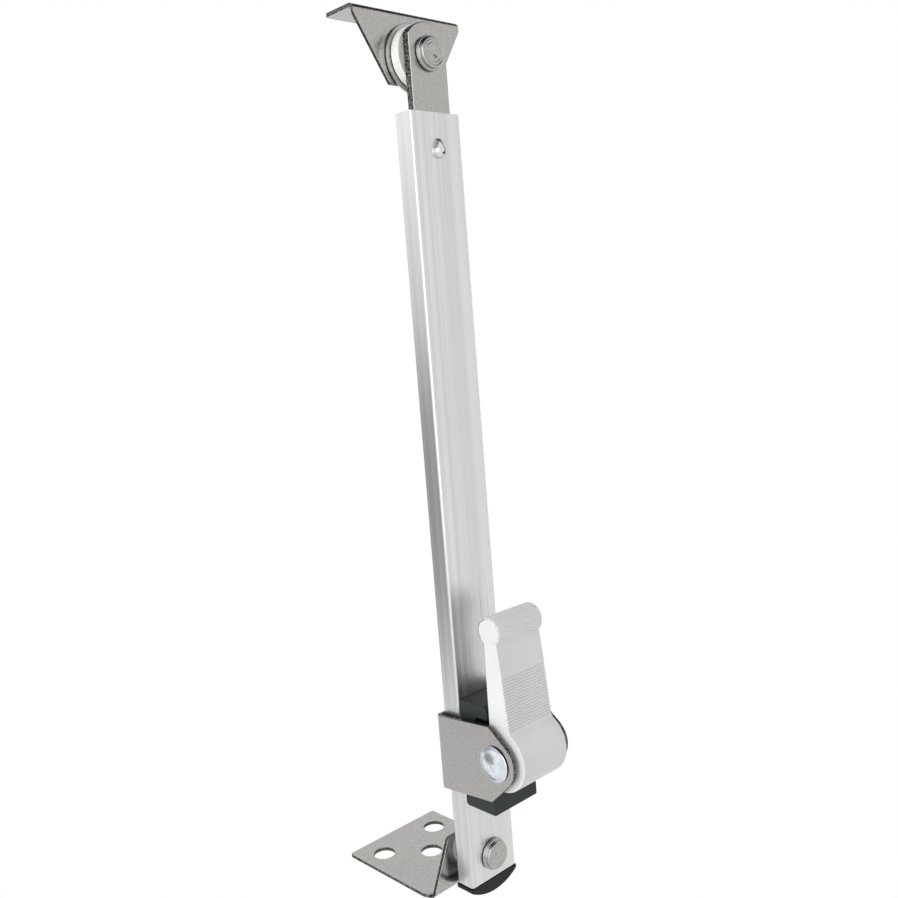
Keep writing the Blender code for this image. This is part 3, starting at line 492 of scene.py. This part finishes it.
def soften(piece, width, from_angle=EDGE_ANGLE, segments=EDGE_SEGMENTS):
    edges = piece.modifiers.new("edges", "BEVEL")
    edges.width = width
    edges.segments = segments
    edges.limit_method = "ANGLE"
    edges.angle_limit = math.radians(from_angle)
    edges.use_clamp_overlap = False
    edges.miter_outer = "MITER_ARC"


def place_piece(piece, node, body, sharp=SHARP_ANGLE):
    """Settles the piece's modifiers into its mesh and lets it stand for its CAD node."""
    helpers = [one.object for one in piece.modifiers if one.type == "BOOLEAN"]
    graph = bpy.context.evaluated_depsgraph_get()
    mesh = bpy.data.meshes.new_from_object(piece.evaluated_get(graph), depsgraph=graph)
    piece.modifiers.clear()
    piece.data = mesh
    for helper in helpers:
        bpy.data.objects.remove(helper, do_unlink=True)
    mesh.shade_smooth()
    mesh.set_sharp_from_angle(angle=math.radians(sharp))
    weighted = piece.modifiers.new("normals", "WEIGHTED_NORMAL")
    weighted.keep_sharp = True
    if node:
        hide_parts(node)
    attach(piece, body)
    return piece


def middle(node):
    low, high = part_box(node)
    return (Vector(low) + Vector(high)) / 2


# ---------------------------------------------------------------- places shared by several pieces

CHANNEL_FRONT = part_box("end_cap")[0][1]
CHANNEL_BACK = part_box("channel")[1][1]
CHANNEL_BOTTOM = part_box("channel")[0][2]
CHANNEL_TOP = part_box("channel")[1][2]
LOWER_PIVOT = middle("lower_rivet").z
UPPER_PIVOT = middle("upper_rivet").z
PIN = middle("lever_pin")
BAR_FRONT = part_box("slide_bar")[0][1]
BAR_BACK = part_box("slide_bar")[1][1]


# ---------------------------------------------------------------- brackets and housing

def bent_sheet(name, up, radius, front_y, fold_z, side, back, tip_z):
    """L of sheet, longer than needed: a flange that runs back and a plate that rises or hangs."""
    corners = [
        (front_y, fold_z, radius),
        (back + SPARE, fold_z, 0),
        (back + SPARE, fold_z + up * SHEET, 0),
        (front_y + SHEET, fold_z + up * SHEET, radius - SHEET),
        (front_y + SHEET, tip_z + up * SPARE, 0),
        (front_y, tip_z + up * SPARE, 0),
    ]
    return prism(name, rounded(corners), -side - SPARE, side + SPARE, side_view, STEEL)


def lower_bracket():
    low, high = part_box("lower_bracket")
    side = high[0]
    front_y = low[1]
    root = LOWER_ROOT / 2
    tip = LOWER_TIP / 2
    shoulder = front_y + LOWER_SHOULDER
    bracket = bent_sheet("lower_bracket_sheet", 1, LOWER_FOLD, front_y, low[2], side, high[1], high[2])
    face = rounded([
        (-side - SPARE, low[2] - SPARE, 0),
        (side + SPARE, low[2] - SPARE, 0),
        (side + SPARE, SHEET, 0),
        (root, SHEET, 0),
        (tip, high[2], LOWER_TIP_CORNER),
        (-tip, high[2], LOWER_TIP_CORNER),
        (-root, SHEET, 0),
        (-side - SPARE, SHEET, 0),
    ])
    plan = rounded([
        (-root, front_y - SPARE, 0),
        (root, front_y - SPARE, 0),
        (root, front_y, 0),
        (side, shoulder, LOWER_SHOULDER_CORNER),
        (side, high[1], FLANGE_CORNER),
        (-side, high[1], FLANGE_CORNER),
        (-side, shoulder, LOWER_SHOULDER_CORNER),
        (-root, front_y, 0),
    ])
    trim(
        bracket,
        prism("lower_face", face, front_y - SPARE, high[1] + 2 * SPARE, front_view, SHEARED_AND_SHADE),
        prism("lower_plan", plan, low[2] - SPARE, high[2] + 2 * SPARE, plan_view, SHEARED_AND_SHADE),
    )
    apart = HOLE_SPREAD / 2
    for number, (x, y) in enumerate([(0, HOLE_NEAR), (-apart, HOLE_FAR), (apart, HOLE_FAR)]):
        place = (x, front_y + y, low[2])
        cut(bracket, drill(f"screw_{number}", SCREW_HOLE, -SPARE, SHEET + SPARE, place, FACING_UP))
    place = (0, front_y, LOWER_PIVOT)
    cut(bracket, drill("pivot", PIVOT_HOLE, -SHEET - SPARE, SPARE, place, FACING_FRONT))
    soften(bracket, SHEET_EDGE)
    place_piece(bracket, "lower_bracket", "base")


def upper_bracket():
    low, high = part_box("upper_bracket")
    side = high[0]
    front_y = low[1]
    tip = UPPER_TIP / 2
    top = high[2]
    bracket = bent_sheet("upper_bracket_sheet", -1, UPPER_FOLD, front_y, top, side, high[1], low[2])
    face = rounded([
        (-side, top + SPARE, 0),
        (side, top + SPARE, 0),
        (side, top - UPPER_SHOULDER, UPPER_SHOULDER_CORNER),
        (tip, low[2], UPPER_TIP_CORNER),
        (-tip, low[2], UPPER_TIP_CORNER),
        (-side, top - UPPER_SHOULDER, UPPER_SHOULDER_CORNER),
    ])
    plan = rounded([
        (-side, front_y - SPARE, 0),
        (side, front_y - SPARE, 0),
        (side, high[1], FLANGE_CORNER),
        (-side, high[1], FLANGE_CORNER),
    ])
    trim(
        bracket,
        prism("upper_face", face, front_y - SPARE, high[1] + 2 * SPARE, front_view, SHEARED_AND_SHADE),
        prism("upper_plan", plan, low[2] - 2 * SPARE, top + SPARE, plan_view, SHEARED_AND_SHADE),
    )
    for number, x in enumerate((-UPPER_HOLE_SPREAD / 2, UPPER_HOLE_SPREAD / 2)):
        place = (x, (front_y + SHEET + high[1]) / 2, top)
        cut(bracket, drill(f"small_screw_{number}", UPPER_HOLE, -SHEET - SPARE, SPARE, place, FACING_UP))
    place = (0, front_y, UPPER_PIVOT)
    cut(bracket, drill("upper_pivot", PIVOT_HOLE, -SHEET - SPARE, SPARE, place, FACING_FRONT))
    soften(bracket, SHEET_EDGE)
    place_piece(bracket, "upper_bracket", "top")


def tangent_angle(point, centre, radius, turn):
    """Angle of the spot on a circle where the line from a point touches it, in degrees."""
    away = Vector(point) - Vector(centre)
    return math.degrees(math.atan2(away.y, away.x)) + turn * math.degrees(math.acos(radius / away.length))


def clamp_housing():
    low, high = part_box("clamp_housing")
    outer = high[0]
    inner = outer - SHEET
    back = high[1]
    reach = low[1] - SPARE
    section = rounded([
        (-outer, reach, 0),
        (-inner, reach, 0),
        (-inner, back - SHEET, HOUSING_BEND - SHEET),
        (inner, back - SHEET, HOUSING_BEND - SHEET),
        (inner, reach, 0),
        (outer, reach, 0),
        (outer, back, HOUSING_BEND),
        (-outer, back, HOUSING_BEND),
    ])
    housing = prism("clamp_housing_sheet", section, low[2] - SPARE, high[2] + SPARE, plan_view, STEEL)
    pin = (PIN.y, PIN.z)
    tip = (CHANNEL_FRONT - CHEEK_TIP_REACH, low[2] + CHEEK_LEAN)
    brow = (CHANNEL_FRONT - CHEEK_TOP_REACH, high[2])
    heel = (back, low[2])
    nape = (back, high[2] - CHEEK_LEAN)
    start = tangent_angle(brow, pin, CHEEK_RADIUS, 1)
    stop = tangent_angle(tip, pin, CHEEK_RADIUS, -1) + 360
    outline = [heel, (back + SPARE, heel[1]), (back + SPARE, nape[1]), nape, brow]
    outline += arc(pin, CHEEK_RADIUS, start, stop, LONG_ARC_STEPS)
    outline.append(tip)
    across = outer + SPARE
    trim(housing, prism("cheek", outline, -across, across, side_view, SHEARED_AND_SHADE))
    cut(housing, drill("pin_hole", PIVOT_HOLE, -across, across, (0, PIN.y, PIN.z), FACING_LEFT))
    for number in (1, 2):
        place = (0, back, middle(f"carriage_rivet_{number}").z)
        hole = CARRIAGE_RIVET + 2 * GAP
        cut(housing, drill(f"back_hole_{number}", hole, -SPARE, SHEET + SPARE, place, FACING_FRONT))
    soften(housing, SHEET_EDGE)
    place_piece(housing, "clamp_housing", "carriage")


# ---------------------------------------------------------------- turned pieces

def pivot_rivet(node, body):
    """Rivet with a stepped, dimpled head that faces the front and a low tail behind."""
    low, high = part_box(node)
    centre = middle(node)
    collar = high[0] - centre.x
    head = HEAD / 2
    tail = TAIL / 2
    dimple = DIMPLE / 2
    step = -HEAD_RISE
    seat = step - COLLAR_RISE
    far = low[1] - high[1] + TAIL_RISE
    rings = []
    for number in range(1, TURNING_RINGS + 1):
        radius = dimple + (head - dimple) * number / (TURNING_RINGS + 1)
        rings.append((radius - TURNING_WIDTH, 0, 0))
        rings.append((radius, -TURNING_DEPTH, 0))
        rings.append((radius + TURNING_WIDTH, 0, 0))
    profile = rounded([
        (0, -DIMPLE_DEPTH, 0),
        (DIMPLE_BED * dimple, -DIMPLE_DEPTH, DIMPLE_ROUNDING * DIMPLE_DEPTH),
        (dimple, 0, DIMPLE_ROUNDING * DIMPLE_DEPTH),
        *rings,
        (head, 0, HEAD_EDGE),
        (head, step, TURNED_EDGE),
        (collar, step, TURNED_EDGE),
        (collar, seat, TURNED_EDGE / 2),
        (SHANK / 2, seat, 0),
        (SHANK / 2, far, 0),
        (tail, far, TURNED_EDGE / 2),
        (tail, far - TAIL_RISE / 2, TURNED_EDGE),
        (tail * TAIL_CROWN, far - TAIL_RISE, TURNED_EDGE),
        (0, far - TAIL_RISE, 0),
    ])
    piece = turned(f"{node}_turned", profile, (centre.x, low[1], centre.z), FACING_FRONT, STEEL)
    place_piece(piece, node, body)


def flat_ring(node, look, edge):
    """Bush or washer round a pivot rivet."""
    low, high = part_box(node)
    centre = middle(node)
    outer = high[0] - centre.x
    back = low[1] - high[1]
    inner = PIVOT_HOLE / 2
    profile = rounded([
        (inner, 0, edge / 2),
        (outer, 0, edge),
        (outer, back, edge),
        (inner, back, edge / 2),
    ])
    piece = turned(f"{node}_turned", profile, (centre.x, low[1], centre.z), FACING_FRONT, look, hollow=True)
    place_piece(piece, node, "carriage")


def lower_bush():
    low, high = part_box("lower_bush")
    centre = middle("lower_bush")
    flange = high[0] - centre.x
    back = low[1] - high[1]
    step = back + BUSH_FLANGE_RISE
    inner = PIVOT_HOLE / 2
    body = BUSH_BODY / 2
    profile = rounded([
        (inner, 0, TURNED_EDGE / 2),
        (body, 0, TURNED_EDGE),
        (body, step, 0),
        (flange, step, TURNED_EDGE),
        (flange, back, TURNED_EDGE),
        (inner, back, TURNED_EDGE / 2),
    ])
    place = (0, low[1], centre.z)
    piece = turned("lower_bush_turned", profile, place, FACING_FRONT, BUSH_WHITE, hollow=True)
    place_piece(piece, "lower_bush", "base")


def lever_pin():
    """Pin with a domed, dimpled head on the left and a flat tail on the right."""
    low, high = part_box("lever_pin")
    head = high[1] - PIN.y
    tail = PIN_TAIL / 2
    top = -low[0]
    seat = top - PIN_HEAD_RISE
    far = -high[0] + PIN_TAIL_RISE
    foot = head - PIN_SHOULDER
    crown = PIN_HEAD_RISE - PIN_HEAD_SIDE - PIN_DIMPLE
    dome_radius = (foot * foot + crown * crown) / (2 * crown)
    dimple_angle = math.degrees(math.asin(PIN_DIMPLE_RADIUS / dome_radius))
    edge_angle = math.degrees(math.asin(foot / dome_radius))
    dome = arc((0, top - dome_radius), dome_radius, 90 - dimple_angle, 90 - edge_angle, DOME_STEPS)
    profile = rounded([
        (0, top - PIN_DIMPLE, 0),
        (PIN_DIMPLE_BED * PIN_DIMPLE_RADIUS, top - PIN_DIMPLE, PIN_DIMPLE_ROUNDING * PIN_DIMPLE_RADIUS),
        *[(radius, height, 0) for radius, height in dome],
        (head, seat + PIN_HEAD_SIDE, TURNED_EDGE),
        (head, seat, TURNED_EDGE / 2),
    ])
    profile += rounded([
        (SHANK / 2, seat, 0),
        (SHANK / 2, far, 0),
        (tail, far, TURNED_EDGE / 2),
        (tail, far - TAIL_RISE / 2, TURNED_EDGE),
        (tail * TAIL_CROWN, far - PIN_TAIL_RISE, TURNED_EDGE),
        (0, far - PIN_TAIL_RISE, 0),
    ])
    piece = turned("lever_pin_turned", profile, (0, PIN.y, PIN.z), FACING_LEFT, ZINC)
    place_piece(piece, "lever_pin", "carriage")


def carriage_rivet(node):
    low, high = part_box(node)
    centre = middle(node)
    head = high[0] - centre.x
    far = low[1] - high[1] + CARRIAGE_RIVET_RISE
    shank = CARRIAGE_RIVET / 2
    profile = rounded([
        (0, 0, 0),
        (head, 0, TURNED_EDGE),
        (head, -CARRIAGE_RIVET_RISE, 0),
        (shank, -CARRIAGE_RIVET_RISE, 0),
        (shank, far, 0),
        (head, far, TURNED_EDGE / 2),
        (head, far - CARRIAGE_RIVET_RISE / 2, TURNED_EDGE / 2),
        (head * TAIL_CROWN, far - CARRIAGE_RIVET_RISE, TURNED_EDGE),
        (0, far - CARRIAGE_RIVET_RISE, 0),
    ])
    piece = turned(f"{node}_turned", profile, (centre.x, low[1], centre.z), FACING_FRONT, STEEL)
    place_piece(piece, node, "carriage")


# ---------------------------------------------------------------- channel

def channel():
    """C-section with rounded corners, fine extrusion lines down its face, and its slot at the back."""
    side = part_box("channel")[1][0]
    lip = SLOT / 2
    inner = side - WALL
    face = []
    for share in sorted(LINES, reverse=True):
        x = share * side
        face += [(x + LINE_WIDTH / 2, CHANNEL_FRONT, 0), (x, CHANNEL_FRONT + LINE_DEPTH, 0)]
        face.append((x - LINE_WIDTH / 2, CHANNEL_FRONT, 0))
    section = rounded([
        (lip, CHANNEL_BACK, 0),
        (side, CHANNEL_BACK, CHANNEL_CORNER),
        (side, CHANNEL_FRONT, CHANNEL_CORNER),
        *face,
        (-side, CHANNEL_FRONT, CHANNEL_CORNER),
        (-side, CHANNEL_BACK, CHANNEL_CORNER),
        (-lip, CHANNEL_BACK, 0),
        (-lip, CHANNEL_BACK - WALL, 0),
        (-inner, CHANNEL_BACK - WALL, 0),
        (-inner, CHANNEL_FRONT + WALL, 0),
        (inner, CHANNEL_FRONT + WALL, 0),
        (inner, CHANNEL_BACK - WALL, 0),
        (lip, CHANNEL_BACK - WALL, 0),
    ])
    body = prism("channel_extrusion", section, CHANNEL_BOTTOM, CHANNEL_TOP, plan_view, ALUMINIUM)
    place = (0, CHANNEL_FRONT, LOWER_PIVOT)
    cut(body, drill("channel_hole", PIVOT_HOLE, -WALL - SPARE, SPARE, place, FACING_FRONT, ALUMINIUM))
    soften(body, CHANNEL_EDGE, CHANNEL_EDGE_ANGLE, CHANNEL_EDGE_SEGMENTS)
    place_piece(body, "channel", "channel")


def stop_lug():
    """Teardrop lug on the channel's face, point up, steep at its rim, with shade painted in dark sheared
    steel on its right.
    """
    low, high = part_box("stop_lug")
    side = high[0]
    corners = [(-side, low[2], LUG_CORNER), (side, low[2], LUG_CORNER), (0, high[2], LUG_TIP)]
    rim = rounded(corners, LUG_STEPS)
    rise = CHANNEL_FRONT - low[1]
    crest = Vector((0, low[2] + LUG_CREST))
    shape = bmesh.new()
    rings = []
    for step in range(LUG_STEPS + 1):
        tilt = math.pi / 2 * step / LUG_STEPS
        depth = CHANNEL_FRONT + LUG_SEAT - (rise + LUG_SEAT) * math.sin(tilt) ** LUG_FULLNESS
        ring = [crest + (Vector(point) - crest) * math.cos(tilt) for point in rim]
        if step < LUG_STEPS:
            rings.append([shape.verts.new((x, depth, z)) for x, z in ring])
        else:
            top = shape.verts.new((crest.x, depth, crest.y))
    for number, (outer, inner) in enumerate(zip(rings, rings[1:])):
        for i in range(len(outer)):
            face = shape.faces.new((outer[i - 1], outer[i], inner[i], inner[i - 1]))
            # painted shade: the lug's right flank, from the foot up, takes the dark sheared steel as if in
            # shadow
            on_right = outer[i].co.x > 0 and outer[i].co.z > low[2] + LUG_CORNER / 2
            face.material_index = int(number < LUG_SHADE_STEPS and on_right)
    for i in range(len(rim)):
        shape.faces.new((rings[-1][i - 1], rings[-1][i], top))
    shape.faces.new(rings[0])
    bmesh.ops.recalc_face_normals(shape, faces=shape.faces)
    lug = object_of("stop_lug_hood", shape, ALUMINIUM)
    # second material: dark sheared steel, for the painted shade on the lug's right
    lug.data.materials.append(SHEARED_AND_SHADE)
    place_piece(lug, "stop_lug", "channel", LUG_SHARP_ANGLE)


def end_cap():
    """Plastic plug whose curved foot lets the channel swing."""
    low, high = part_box("end_cap")
    side = high[0]
    top = CHANNEL_BOTTOM - GAP
    edge = top - CAP_EDGE
    sag = edge - low[2]
    radius = (side * side + sag * sag) / (2 * sag)
    half_angle = math.degrees(math.asin(side / radius))
    centre = (0, edge - sag + radius)
    foot = [(side, top), (-side, top)]
    foot += arc(centre, radius, -90 - half_angle, -90 + half_angle, LONG_ARC_STEPS)
    cap = prism("end_cap_moulding", foot, CHANNEL_FRONT, CHANNEL_BACK, front_view, BLACK)
    fit = WALL + GAP
    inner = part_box("channel")[1][0] - fit
    block = box_outline(-inner, CHANNEL_FRONT + fit, inner, CHANNEL_BACK - fit)
    join(cap, prism("plug", block, edge, high[2], plan_view, BLACK))
    soften(cap, MOULDED_EDGE)
    place_piece(cap, "end_cap", "channel")


# ---------------------------------------------------------------- bar and carriage

def slide_bar():
    low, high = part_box("slide_bar")
    side = high[0]
    clamp_bottom = low[2] + TONGUE_LENGTH
    top_radius = side + BAR_CROWN
    shoulder = math.degrees(math.acos(side / top_radius))
    tongue = TONGUE_WIDTH / 2
    outline = [(-tongue, clamp_bottom), (-tongue, low[2]), (tongue, low[2]), (tongue, clamp_bottom)]
    outline += [(side, clamp_bottom)]
    outline += arc((0, UPPER_PIVOT), top_radius, shoulder, 180 - shoulder, LONG_ARC_STEPS)
    outline += [(-side, clamp_bottom)]
    face = box_outline(-side - SPARE, low[2] - SPARE, side + SPARE, high[2] + SPARE)
    bar = prism("slide_bar_flat", face, BAR_FRONT, BAR_BACK, front_view, STEEL)
    trim(bar, prism("bar_outline", outline, BAR_FRONT - SPARE, BAR_BACK + SPARE, front_view, SHEARED_AND_SHADE))
    far = -(BAR_BACK - BAR_FRONT) - SPARE
    cut(bar, drill("bar_hole", PIVOT_HOLE, far, SPARE, (0, BAR_FRONT, UPPER_PIVOT), FACING_FRONT))
    recess = -CARRIAGE_RIVET_RISE - 2 * GAP
    narrow = CARRIAGE_RIVET / 2 + GAP
    for number in (1, 2):
        low_rivet, high_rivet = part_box(f"carriage_rivet_{number}")
        wide = (high_rivet[0] - low_rivet[0]) / 2 + GAP
        stepped = [(0, SPARE), (wide, SPARE), (wide, recess), (narrow, recess), (narrow, far), (0, far)]
        place = (0, BAR_FRONT, (low_rivet[2] + high_rivet[2]) / 2)
        cut(bar, turned(f"recess_{number}", stepped, place, FACING_FRONT, SHEARED_AND_SHADE))
    soften(bar, BAR_EDGE)
    place_piece(bar, "slide_bar", "carriage")


def guide_shoe():
    low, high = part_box("guide_shoe")
    block = box_outline(low[0], low[1], high[0], high[1], SHOE_CORNER)
    shoe = prism("guide_shoe_moulding", block, low[2], high[2], plan_view, BLACK)
    tongue = TONGUE_WIDTH / 2 + GAP
    pocket = box_outline(-tongue, low[1] - SPARE, tongue, BAR_BACK + GAP)
    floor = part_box("slide_bar")[0][2] - GAP
    cut(shoe, prism("pocket", pocket, floor, high[2] + SPARE, plan_view, BLACK))
    soften(shoe, SHEET_EDGE)
    place_piece(shoe, "guide_shoe", "carriage")


def carriage_spacer():
    low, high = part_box("carriage_spacer")
    outline = box_outline(low[0], low[2], high[0], high[2], SPACER_CORNER)
    spacer = prism("carriage_spacer_block", outline, low[1], high[1], front_view, STEEL)
    for number in (1, 2):
        place = (0, low[1], middle(f"carriage_rivet_{number}").z)
        hole = CARRIAGE_RIVET + 2 * GAP
        far = low[1] - high[1] - SPARE
        cut(spacer, drill(f"spacer_hole_{number}", hole, far, SPARE, place, FACING_FRONT))
    soften(spacer, SHEET_EDGE)
    place_piece(spacer, "carriage_spacer", "carriage")


# ---------------------------------------------------------------- pad and lever

def clamp_pad():
    low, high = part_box("clamp_pad")
    floor = PIN.y + CAM_OFFSET + (PIN.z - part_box("lever")[0][2]) + GAP
    lower_lip = low[2] + PAD_LOWER_LIP
    upper_lip = high[2] - PAD_UPPER_LIP
    upper_front = CHANNEL_FRONT - PAD_UPPER_REACH
    outline = rounded([
        (high[1], low[2], 0),
        (high[1], high[2], 0),
        (upper_front, high[2], PAD_CORNER),
        (upper_front, upper_lip, PAD_EDGE),
        (floor, upper_lip, PAD_CORNER),
        (floor, lower_lip, PAD_CORNER),
        (low[1], lower_lip, PAD_EDGE),
        (low[1], low[2], PAD_EDGE),
    ])
    pad = prism("clamp_pad_moulding", outline, low[0], high[0], side_view, DARK_GREY)
    soften(pad, MOULDED_EDGE)
    place_piece(pad, "clamp_pad", "pad")


def root_fillet(cam, cam_radius, line_y, outward):
    """Points of the fillet between the cam and an upright line, from the cam to the line."""
    centre_y = line_y + outward * ROOT_FILLET
    span = cam_radius + ROOT_FILLET
    centre_z = cam[1] + math.sqrt(span ** 2 - (centre_y - cam[0]) ** 2)
    towards_cam = math.degrees(math.atan2(cam[1] - centre_z, cam[0] - centre_y))
    if outward > 0:
        return arc((centre_y, centre_z), ROOT_FILLET, towards_cam % 360, 180, CORNER_STEPS)
    return arc((centre_y, centre_z), ROOT_FILLET, towards_cam, 0, CORNER_STEPS)


def grooved_front(start, stop):
    """Front of the arm with fine grooves along X."""
    along = (Vector(stop) - Vector(start)).normalized()
    inward = Vector((along.y, -along.x))
    lip = GROOVE_WIDTH / 2
    bed = lip / GROOVE_TAPER
    points = []
    for number in range(GROOVE_COUNT):
        height = PIN.z + GROOVE_START + number * GROOVE_PITCH
        centre = Vector(start) + along * (height - start[1]) / along.y
        for offset, depth in ((-lip, 0), (-bed, GROOVE_DEPTH), (bed, GROOVE_DEPTH), (lip, 0)):
            points.append(tuple(centre + along * offset + inward * depth))
    return points


def fluted_grip(centre, start, stop):
    """Round of the grip with soft flutes along X."""
    points = []
    steps = FLUTE_STEPS * GRIP_FLUTES
    for step in range(steps + 1):
        angle = math.radians(start + (stop - start) * step / steps)
        dip = abs(math.cos(math.pi * step / FLUTE_STEPS)) ** FLUTE_SHARPNESS
        radius = GRIP_RADIUS - FLUTE_DEPTH * dip
        points.append((centre[0] + radius * math.cos(angle), centre[1] + radius * math.sin(angle)))
    return points


def angle_about(centre, point):
    return math.degrees(math.atan2(point[1] - centre[1], point[0] - centre[0]))


def lever():
    """Handle with its cam round the pin, a grooved arm and a fluted grip."""
    low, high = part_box("lever")
    cam_radius = PIN.z - low[2]
    cam = (PIN.y + CAM_OFFSET, PIN.z)
    grip = (PIN.y + GRIP_BEHIND, high[2] - GRIP_RADIUS)
    rear = PIN.y + ARM_BEHIND
    front_tip = PIN.y - ARM_AHEAD_TIP
    rear_fillet = root_fillet(cam, cam_radius, rear, 1)
    front_fillet = root_fillet(cam, cam_radius, PIN.y - ARM_AHEAD_ROOT, -1)
    grip_rear = -math.degrees(math.acos((rear - grip[0]) / GRIP_RADIUS))
    grip_front = math.degrees(math.acos((grip[0] - front_tip) / GRIP_RADIUS)) - 180
    grip_front_z = grip[1] + GRIP_RADIUS * math.sin(math.radians(grip_front))
    cam_stop = angle_about(cam, front_fillet[0]) - 360
    outline = arc(cam, cam_radius, angle_about(cam, rear_fillet[0]), cam_stop, ROUND_STEPS)
    outline += front_fillet[1:]
    outline += grooved_front(front_fillet[-1], (front_tip, grip_front_z))
    outline += fluted_grip(grip, grip_front + 360, grip_rear)
    outline += list(reversed(rear_fillet[1:]))
    handle = prism("lever_moulding", outline, low[0], high[0], side_view, WHITE)
    reach = high[0] + SPARE
    cut(handle, drill("lever_hole", PIVOT_HOLE, -reach, reach, (0, PIN.y, PIN.z), FACING_LEFT, WHITE))
    soften(handle, LEVER_EDGE, LEVER_EDGE_ANGLE)
    place_piece(handle, "lever", "lever")


lower_bracket()
upper_bracket()
clamp_housing()
pivot_rivet("lower_rivet", "base")
pivot_rivet("upper_rivet", "carriage")
lower_bush()
flat_ring("upper_bush", BUSH_WHITE, BUSH_EDGE)
flat_ring("upper_washer", STEEL, TURNED_EDGE / 2)
lever_pin()
carriage_rivet("carriage_rivet_1")
carriage_rivet("carriage_rivet_2")
channel()
stop_lug()
end_cap()
slide_bar()
guide_shoe()
carriage_spacer()
clamp_pad()
lever()


# ---------------------------------------------------------------- studio

def camera():
    azimuth = math.radians(CAMERA_AZIMUTH)
    elevation = math.radians(CAMERA_ELEVATION)
    roll = math.radians(CAMERA_ROLL)
    back = Vector((
        math.sin(azimuth) * math.cos(elevation),
        -math.cos(azimuth) * math.cos(elevation),
        math.sin(elevation),
    ))
    level = Vector((0, 0, 1)).cross(back).normalized()
    upright = back.cross(level)
    right = math.cos(roll) * level + math.sin(roll) * upright
    up = math.cos(roll) * upright - math.sin(roll) * level
    lens = bpy.data.cameras.new("camera")
    lens.lens = CAMERA_LENS
    lens.sensor_width = CAMERA_SENSOR
    lens.clip_start = CAMERA_NEAR
    made = bpy.data.objects.new("camera", lens)
    made.matrix_world = Matrix.Translation(CAMERA_PLACE) @ Matrix((right, up, back)).transposed().to_4x4()
    bpy.context.scene.collection.objects.link(made)
    bpy.context.scene.camera = made


def seen_directly(tree):
    """1 for rays from the camera, a mirror or glass, 0 for the rest."""
    path = tree.nodes.new("ShaderNodeLightPath")
    total = path.outputs["Is Camera Ray"]
    for name in ("Is Glossy Ray", "Is Transmission Ray"):
        higher = tree.nodes.new("ShaderNodeMath")
        higher.operation = "MAXIMUM"
        tree.links.new(total, higher.inputs[0])
        tree.links.new(path.outputs[name], higher.inputs[1])
        total = higher.outputs["Value"]
    return total


def sky():
    world = bpy.data.worlds.new("studio")
    bpy.context.scene.world = world
    world.use_nodes = True
    tree = world.node_tree
    shader = tree.nodes["Background"]
    shader.inputs["Color"].default_value = (1, 1, 1, 1)
    strength = between(tree, seen_directly(tree), 0, 1, SKY_FILL, 1)
    tree.links.new(strength, shader.inputs["Strength"])


def floor():
    shape = bmesh.new()
    bmesh.ops.create_grid(shape, x_segments=1, y_segments=1, size=FLOOR_SIZE)
    shape.transform(Matrix.Translation((0, 0, -FLOOR_DROP)))
    paper = bpy.data.materials.new("paper")
    paper.use_nodes = True
    tree = paper.node_tree
    matt = tree.nodes["Principled BSDF"]
    matt.inputs["Base Color"].default_value = (*PAPER, 1)
    matt.inputs["Roughness"].default_value = 0.9
    glow = tree.nodes.new("ShaderNodeEmission")
    mix = tree.nodes.new("ShaderNodeMixShader")
    tree.links.new(seen_directly(tree), mix.inputs["Fac"])
    tree.links.new(matt.outputs["BSDF"], mix.inputs[1])
    tree.links.new(glow.outputs["Emission"], mix.inputs[2])
    tree.links.new(mix.outputs["Shader"], tree.nodes["Material Output"].inputs["Surface"])
    object_of("floor", shape, paper)


def towards_stay(place):
    """Rotation of a lamp or card at a place, so that it faces the middle of the stay."""
    aim = Vector((0, CHANNEL_FRONT, (CHANNEL_BOTTOM + CHANNEL_TOP) / 2)) - Vector(place)
    return aim.to_track_quat("-Z", "Y")


def softbox(name, place, width, height, power):
    """Soft lamp that metal doesn't mirror."""
    lamp = bpy.data.lights.new(name, "AREA")
    lamp.shape = "RECTANGLE"
    lamp.size = width
    lamp.size_y = height
    lamp.energy = power
    made = bpy.data.objects.new(name, lamp)
    made.location = place
    made.rotation_euler = towards_stay(place).to_euler()
    made.visible_glossy = False
    bpy.context.scene.collection.objects.link(made)


def card(name, place, width, height, shade):
    """Plain card that shows only in reflections."""
    shape = bmesh.new()
    bmesh.ops.create_grid(shape, x_segments=1, y_segments=1, size=0.5)
    turn = towards_stay(place).to_matrix().to_4x4()
    shape.transform(Matrix.Translation(place) @ turn @ Matrix.Diagonal((width, height, 1, 1)))
    board = bpy.data.materials.new(name)
    board.use_nodes = True
    matt = board.node_tree.nodes["Principled BSDF"]
    matt.inputs["Base Color"].default_value = (0, 0, 0, 1)
    matt.inputs["Specular IOR Level"].default_value = 0
    matt.inputs["Emission Color"].default_value = (1, 1, 1, 1)
    matt.inputs["Emission Strength"].default_value = shade
    made = object_of(name, shape, board)
    made.visible_camera = False
    made.visible_diffuse = False
    made.visible_shadow = False


camera()
sky()
floor()
softbox("key", *KEY)
softbox("fill", *FILL)
card("ceiling", *CEILING)
card("behind_camera", *BEHIND_CAMERA)
card("left_low", *LEFT_LOW)
card("left_high", *LEFT_HIGH)

bpy.context.scene.view_settings.view_transform = "Standard"
